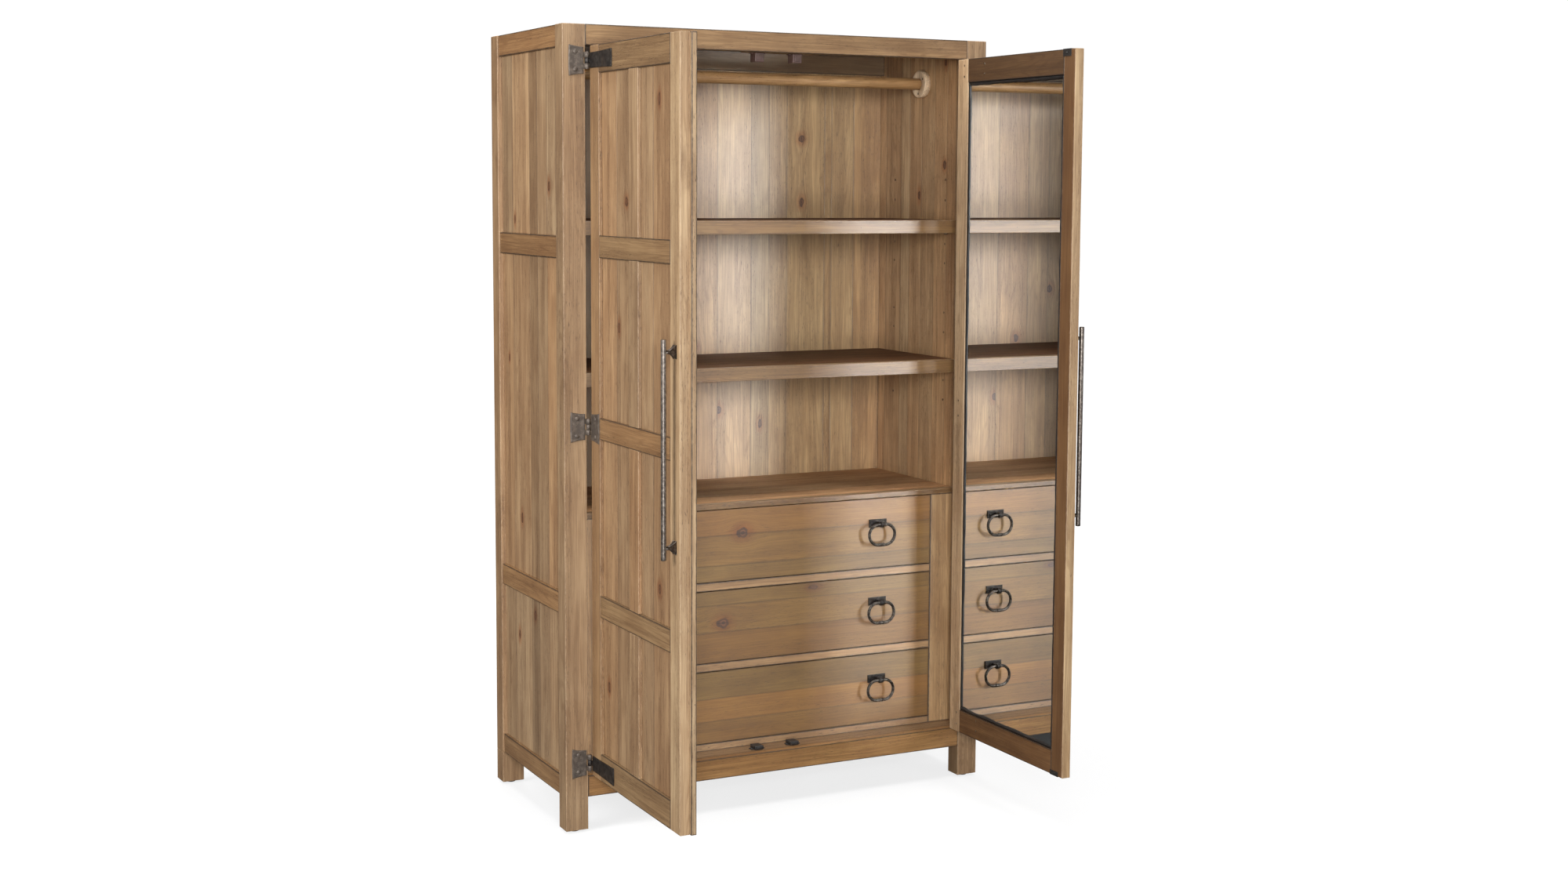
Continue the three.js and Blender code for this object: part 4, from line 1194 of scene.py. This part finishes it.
def build_strikes():
    """Dark plates on the doors' inner faces, folded over their top and bottom edges, for the catches."""
    for side, sign in SIDES.items():
        place = door_layer(side)
        _, _, (z0, z1) = spans(f"door_frame_{side}")
        inset = 62 if side == "left" else 19
        work = Ironwork()
        xs, ys = place(DOOR_WIDTH - inset - 35, DOOR_WIDTH - inset, 23.6, 25.2)
        work.block(xs, ys, (z1 - 18 * MM, z1 + 0.9 * MM), 0.5 * MM)
        work.block(xs, ys, (z0 - 0.9 * MM, z0 + 12 * MM), 0.5 * MM)
        tops, _ = place(0, 1, 4, 25.2)
        work.block(tops, ys, (z1 - 0.3 * MM, z1 + 0.9 * MM), 0.4 * MM)
        work.block(tops, ys, (z0 - 0.9 * MM, z0 + 0.3 * MM), 0.4 * MM)
        for level in (z1 - 9 * MM, z0 + 6 * MM):
            spot = Vector((xs[1] if sign < 0 else xs[0], sum(ys) / 2, level))
            work.screw(spot, Vector((-sign, 0, 0)), 3.0 * MM, 0.9 * MM)
        work.make(f"strikes_{side}", f"door_{side}", "glide", (), BLACK_PLASTIC)


def build_hinge_bolts():
    """The ends of the hinges' bolts, let into the doors' inner faces."""
    for side, sign in SIDES.items():
        place = door_layer(side)
        work = Ironwork()
        for y, z in BOLTS:
            xs, ys = place(y - 9, y - 9, 0, DOOR_DEPTH)
            spot = Vector((xs[1] if sign < 0 else xs[0], ys[0], z * MM))
            work.screw(spot, Vector((-sign, 0, 0)), 3.1 * MM, 0.5 * MM, sides=18)
        work.make(f"bolt_ends_{side}", f"door_{side}", "steel", (), SCREW_STEEL)


def build_pin_holes():
    """Shelf pin holes in the lining, as shallow black dishes: the black is painted shade inside the holes."""
    work = Ironwork()
    for sign in (-1, 1):
        inside = -sign * 0.25 * MM
        profile = [(0, -inside * 2), (3.1 * MM, -inside * 2), (3.1 * MM, inside),
                   (2.4 * MM, inside), (2.2 * MM, 0), (0, 0)]
        for z in PIN_LEVELS:
            for depth in PIN_DEPTHS:
                spot = at_case(0, depth, z)
                spot.x = sign * (CASE_X - LINING_INSET)
                work.turned(profile, X, spot, 18)
    work.make("pin_holes_painted_shade", "case", "glide", (), BLACK_PLASTIC)


def build_shelf_pins():
    """The pins that carry the two loose shelves, standing out of the lining under their ends."""
    work = Ironwork()
    radius = 2.5 * MM
    for shelf in ("upper_shelf", "middle_shelf"):
        _, (front, back), (underside, _) = spans(shelf)
        for sign in (-1, 1):
            reach = -sign * 9 * MM
            profile = [(0, 0), (radius, 0), (radius, 0.9 * reach), (0.7 * radius, reach), (0, reach)]
            for depth in (front + 60 * MM, back - 60 * MM):
                spot = Vector((sign * (CASE_X - LINING_INSET), depth, underside - radius - 0.1 * MM))
                work.turned(profile, X, spot, 18)
    work.make("shelf_pins", "case", "steel", (), SCREW_STEEL)


def build_glides():
    for end in ("front", "back"):
        for side in SIDES:
            node = f"glide_{end}_{side}"
            x, y, z = spans(node)
            radius = (x[1] - x[0]) / 2
            profile = [(0, 0), (radius - 2 * MM, 0), (radius - 0.6 * MM, 0.5 * MM), (radius, 2 * MM),
                       (radius, z[1] - 1 * MM), (radius - 1 * MM, z[1]), (0, z[1])]
            work = Ironwork()
            work.turned(profile, Z, (sum(x) / 2, sum(y) / 2, 0), 32)
            work.make(f"foot_{end}_{side}", "case", "glide", [node], BLACK_PLASTIC)


# --------------------------------------------------------------------------------------------- stage


def build_stage():
    data = bpy.data.meshes.new("floor")
    reach, drop = 30.0, -0.1 * MM
    corners = [(-reach, -reach, drop), (reach, -reach, drop), (reach, reach, drop), (-reach, reach, drop)]
    data.from_pydata(corners, [], [(0, 1, 2, 3)])
    net = Net("studio_floor")
    place = net.node("TexCoord").outputs["Object"]
    cloud = net.noise(place, 1.5, detail=2.0)
    net.shader.inputs["Roughness"].default_value = 0.9
    net.shader.inputs["Specular IOR Level"].default_value = 0.1
    net.shader.inputs["Emission Color"].default_value = (1.0, 1.0, 1.0, 1.0)
    away = net.fade(net.vector("LENGTH", place), 1.2, 3.0)
    glow = net.spread(away, FLOOR_GLOW, WHITE_OUT)
    seen = net.node("LightPath").outputs["Is Camera Ray"]
    net.put(net.shader.inputs["Emission Strength"], net.times(glow, net.spread(seen, 0.05, 1.0)))
    paint = net.mix(cloud, (0.21, 0.21, 0.21), (0.23, 0.23, 0.23))
    data.materials.append(net.finish(net.mix(seen, (0.07, 0.07, 0.07), paint)))
    floor = bpy.data.objects.new("floor", data)
    bpy.context.scene.collection.objects.link(floor)


def add_light(name, location, target, width, height, radiance, colour=(1.0, 1.0, 1.0)):
    """A soft box of this radiance, facing target."""
    data = bpy.data.lights.new(name, "AREA")
    data.shape = "RECTANGLE"
    data.size, data.size_y = width, height
    data.energy = radiance * math.pi * width * height
    data.color = colour
    light = bpy.data.objects.new(name, data)
    light.location = location
    light.rotation_euler = (Vector(target) - Vector(location)).to_track_quat("-Z", "Y").to_euler()
    light.visible_camera = False
    bpy.context.scene.collection.objects.link(light)


def build_lights():
    world = bpy.data.worlds.new("studio")
    world.use_nodes = True
    tree = world.node_tree
    background = tree.nodes["Background"]
    background.inputs["Color"].default_value = (1.0, 1.0, 1.0, 1.0)
    seen = tree.nodes.new("ShaderNodeLightPath")
    strength = tree.nodes.new("ShaderNodeMapRange")
    strength.inputs["To Min"].default_value = WORLD_FILL
    strength.inputs["To Max"].default_value = WHITE_OUT
    tree.links.new(seen.outputs["Is Camera Ray"], strength.inputs["Value"])
    tree.links.new(strength.outputs[0], background.inputs["Strength"])
    bpy.context.scene.world = world
    add_light("key", (-2.45, -5.60, 2.25), (0.1, 0.0, 1.05), 1.4, 1.2, 45.0, (0.975, 1.0, 1.025))
    add_light("low_key", (-2.45, -5.60, 0.72), (0.1, 0.0, 0.8), 1.4, 0.8, 27.0, (0.975, 1.0, 1.025))
    add_light("side", (-4.2, -1.1, 2.2), (-0.6, 0.1, 1.3), 1.6, 1.6, 17.5, (1.0, 0.99, 0.98))
    add_light("top", (0.0, 0.0, 4.8), (0.0, 0.0, 0.0), 3.2, 3.2, 8.0)
    add_light("right", (3.2, -4.2, 1.5), (0.5, 0.0, 0.9), 1.6, 1.6, 6.0)
    add_light("behind", (0.8, 5.0, 2.6), (0.0, 0.2, 1.1), 2.2, 2.2, 5.0)
    bpy.context.scene.cycles.blur_glossy = 0.0
    bpy.context.scene.cycles.sample_clamp_indirect = 0.0


def build_camera():
    forward = Vector((math.sin(HEADING) * math.cos(TILT), math.cos(HEADING) * math.cos(TILT), math.sin(TILT)))
    level = Vector((math.cos(HEADING), -math.sin(HEADING), 0.0))
    right = level * math.cos(ROLL) + level.cross(forward) * math.sin(ROLL)
    up = right.cross(forward)
    data = bpy.data.cameras.new("camera")
    data.sensor_width = 36.0
    data.lens = LENS
    data.shift_x, data.shift_y = SHIFT
    camera = bpy.data.objects.new("camera", data)
    turn = Matrix((right, up, -forward)).transposed().to_4x4()
    camera.matrix_world = Matrix.Translation(CAMERA_PLACE) @ turn
    bpy.context.scene.collection.objects.link(camera)
    bpy.context.scene.camera = camera


build_camera()
build_posts()
build_sides()
build_rails_and_boards()
build_shelves()
build_chest_frame()
build_rod()
build_drawers()
build_doors()
build_mirror()
build_hinges()
build_pulls()
build_rings()
build_catch_block()
build_catches()
build_strikes()
build_hinge_bolts()
build_pin_holes()
build_shelf_pins()
build_glides()
build_stage()
build_lights()
bpy.context.scene.view_settings.view_transform = "Standard"
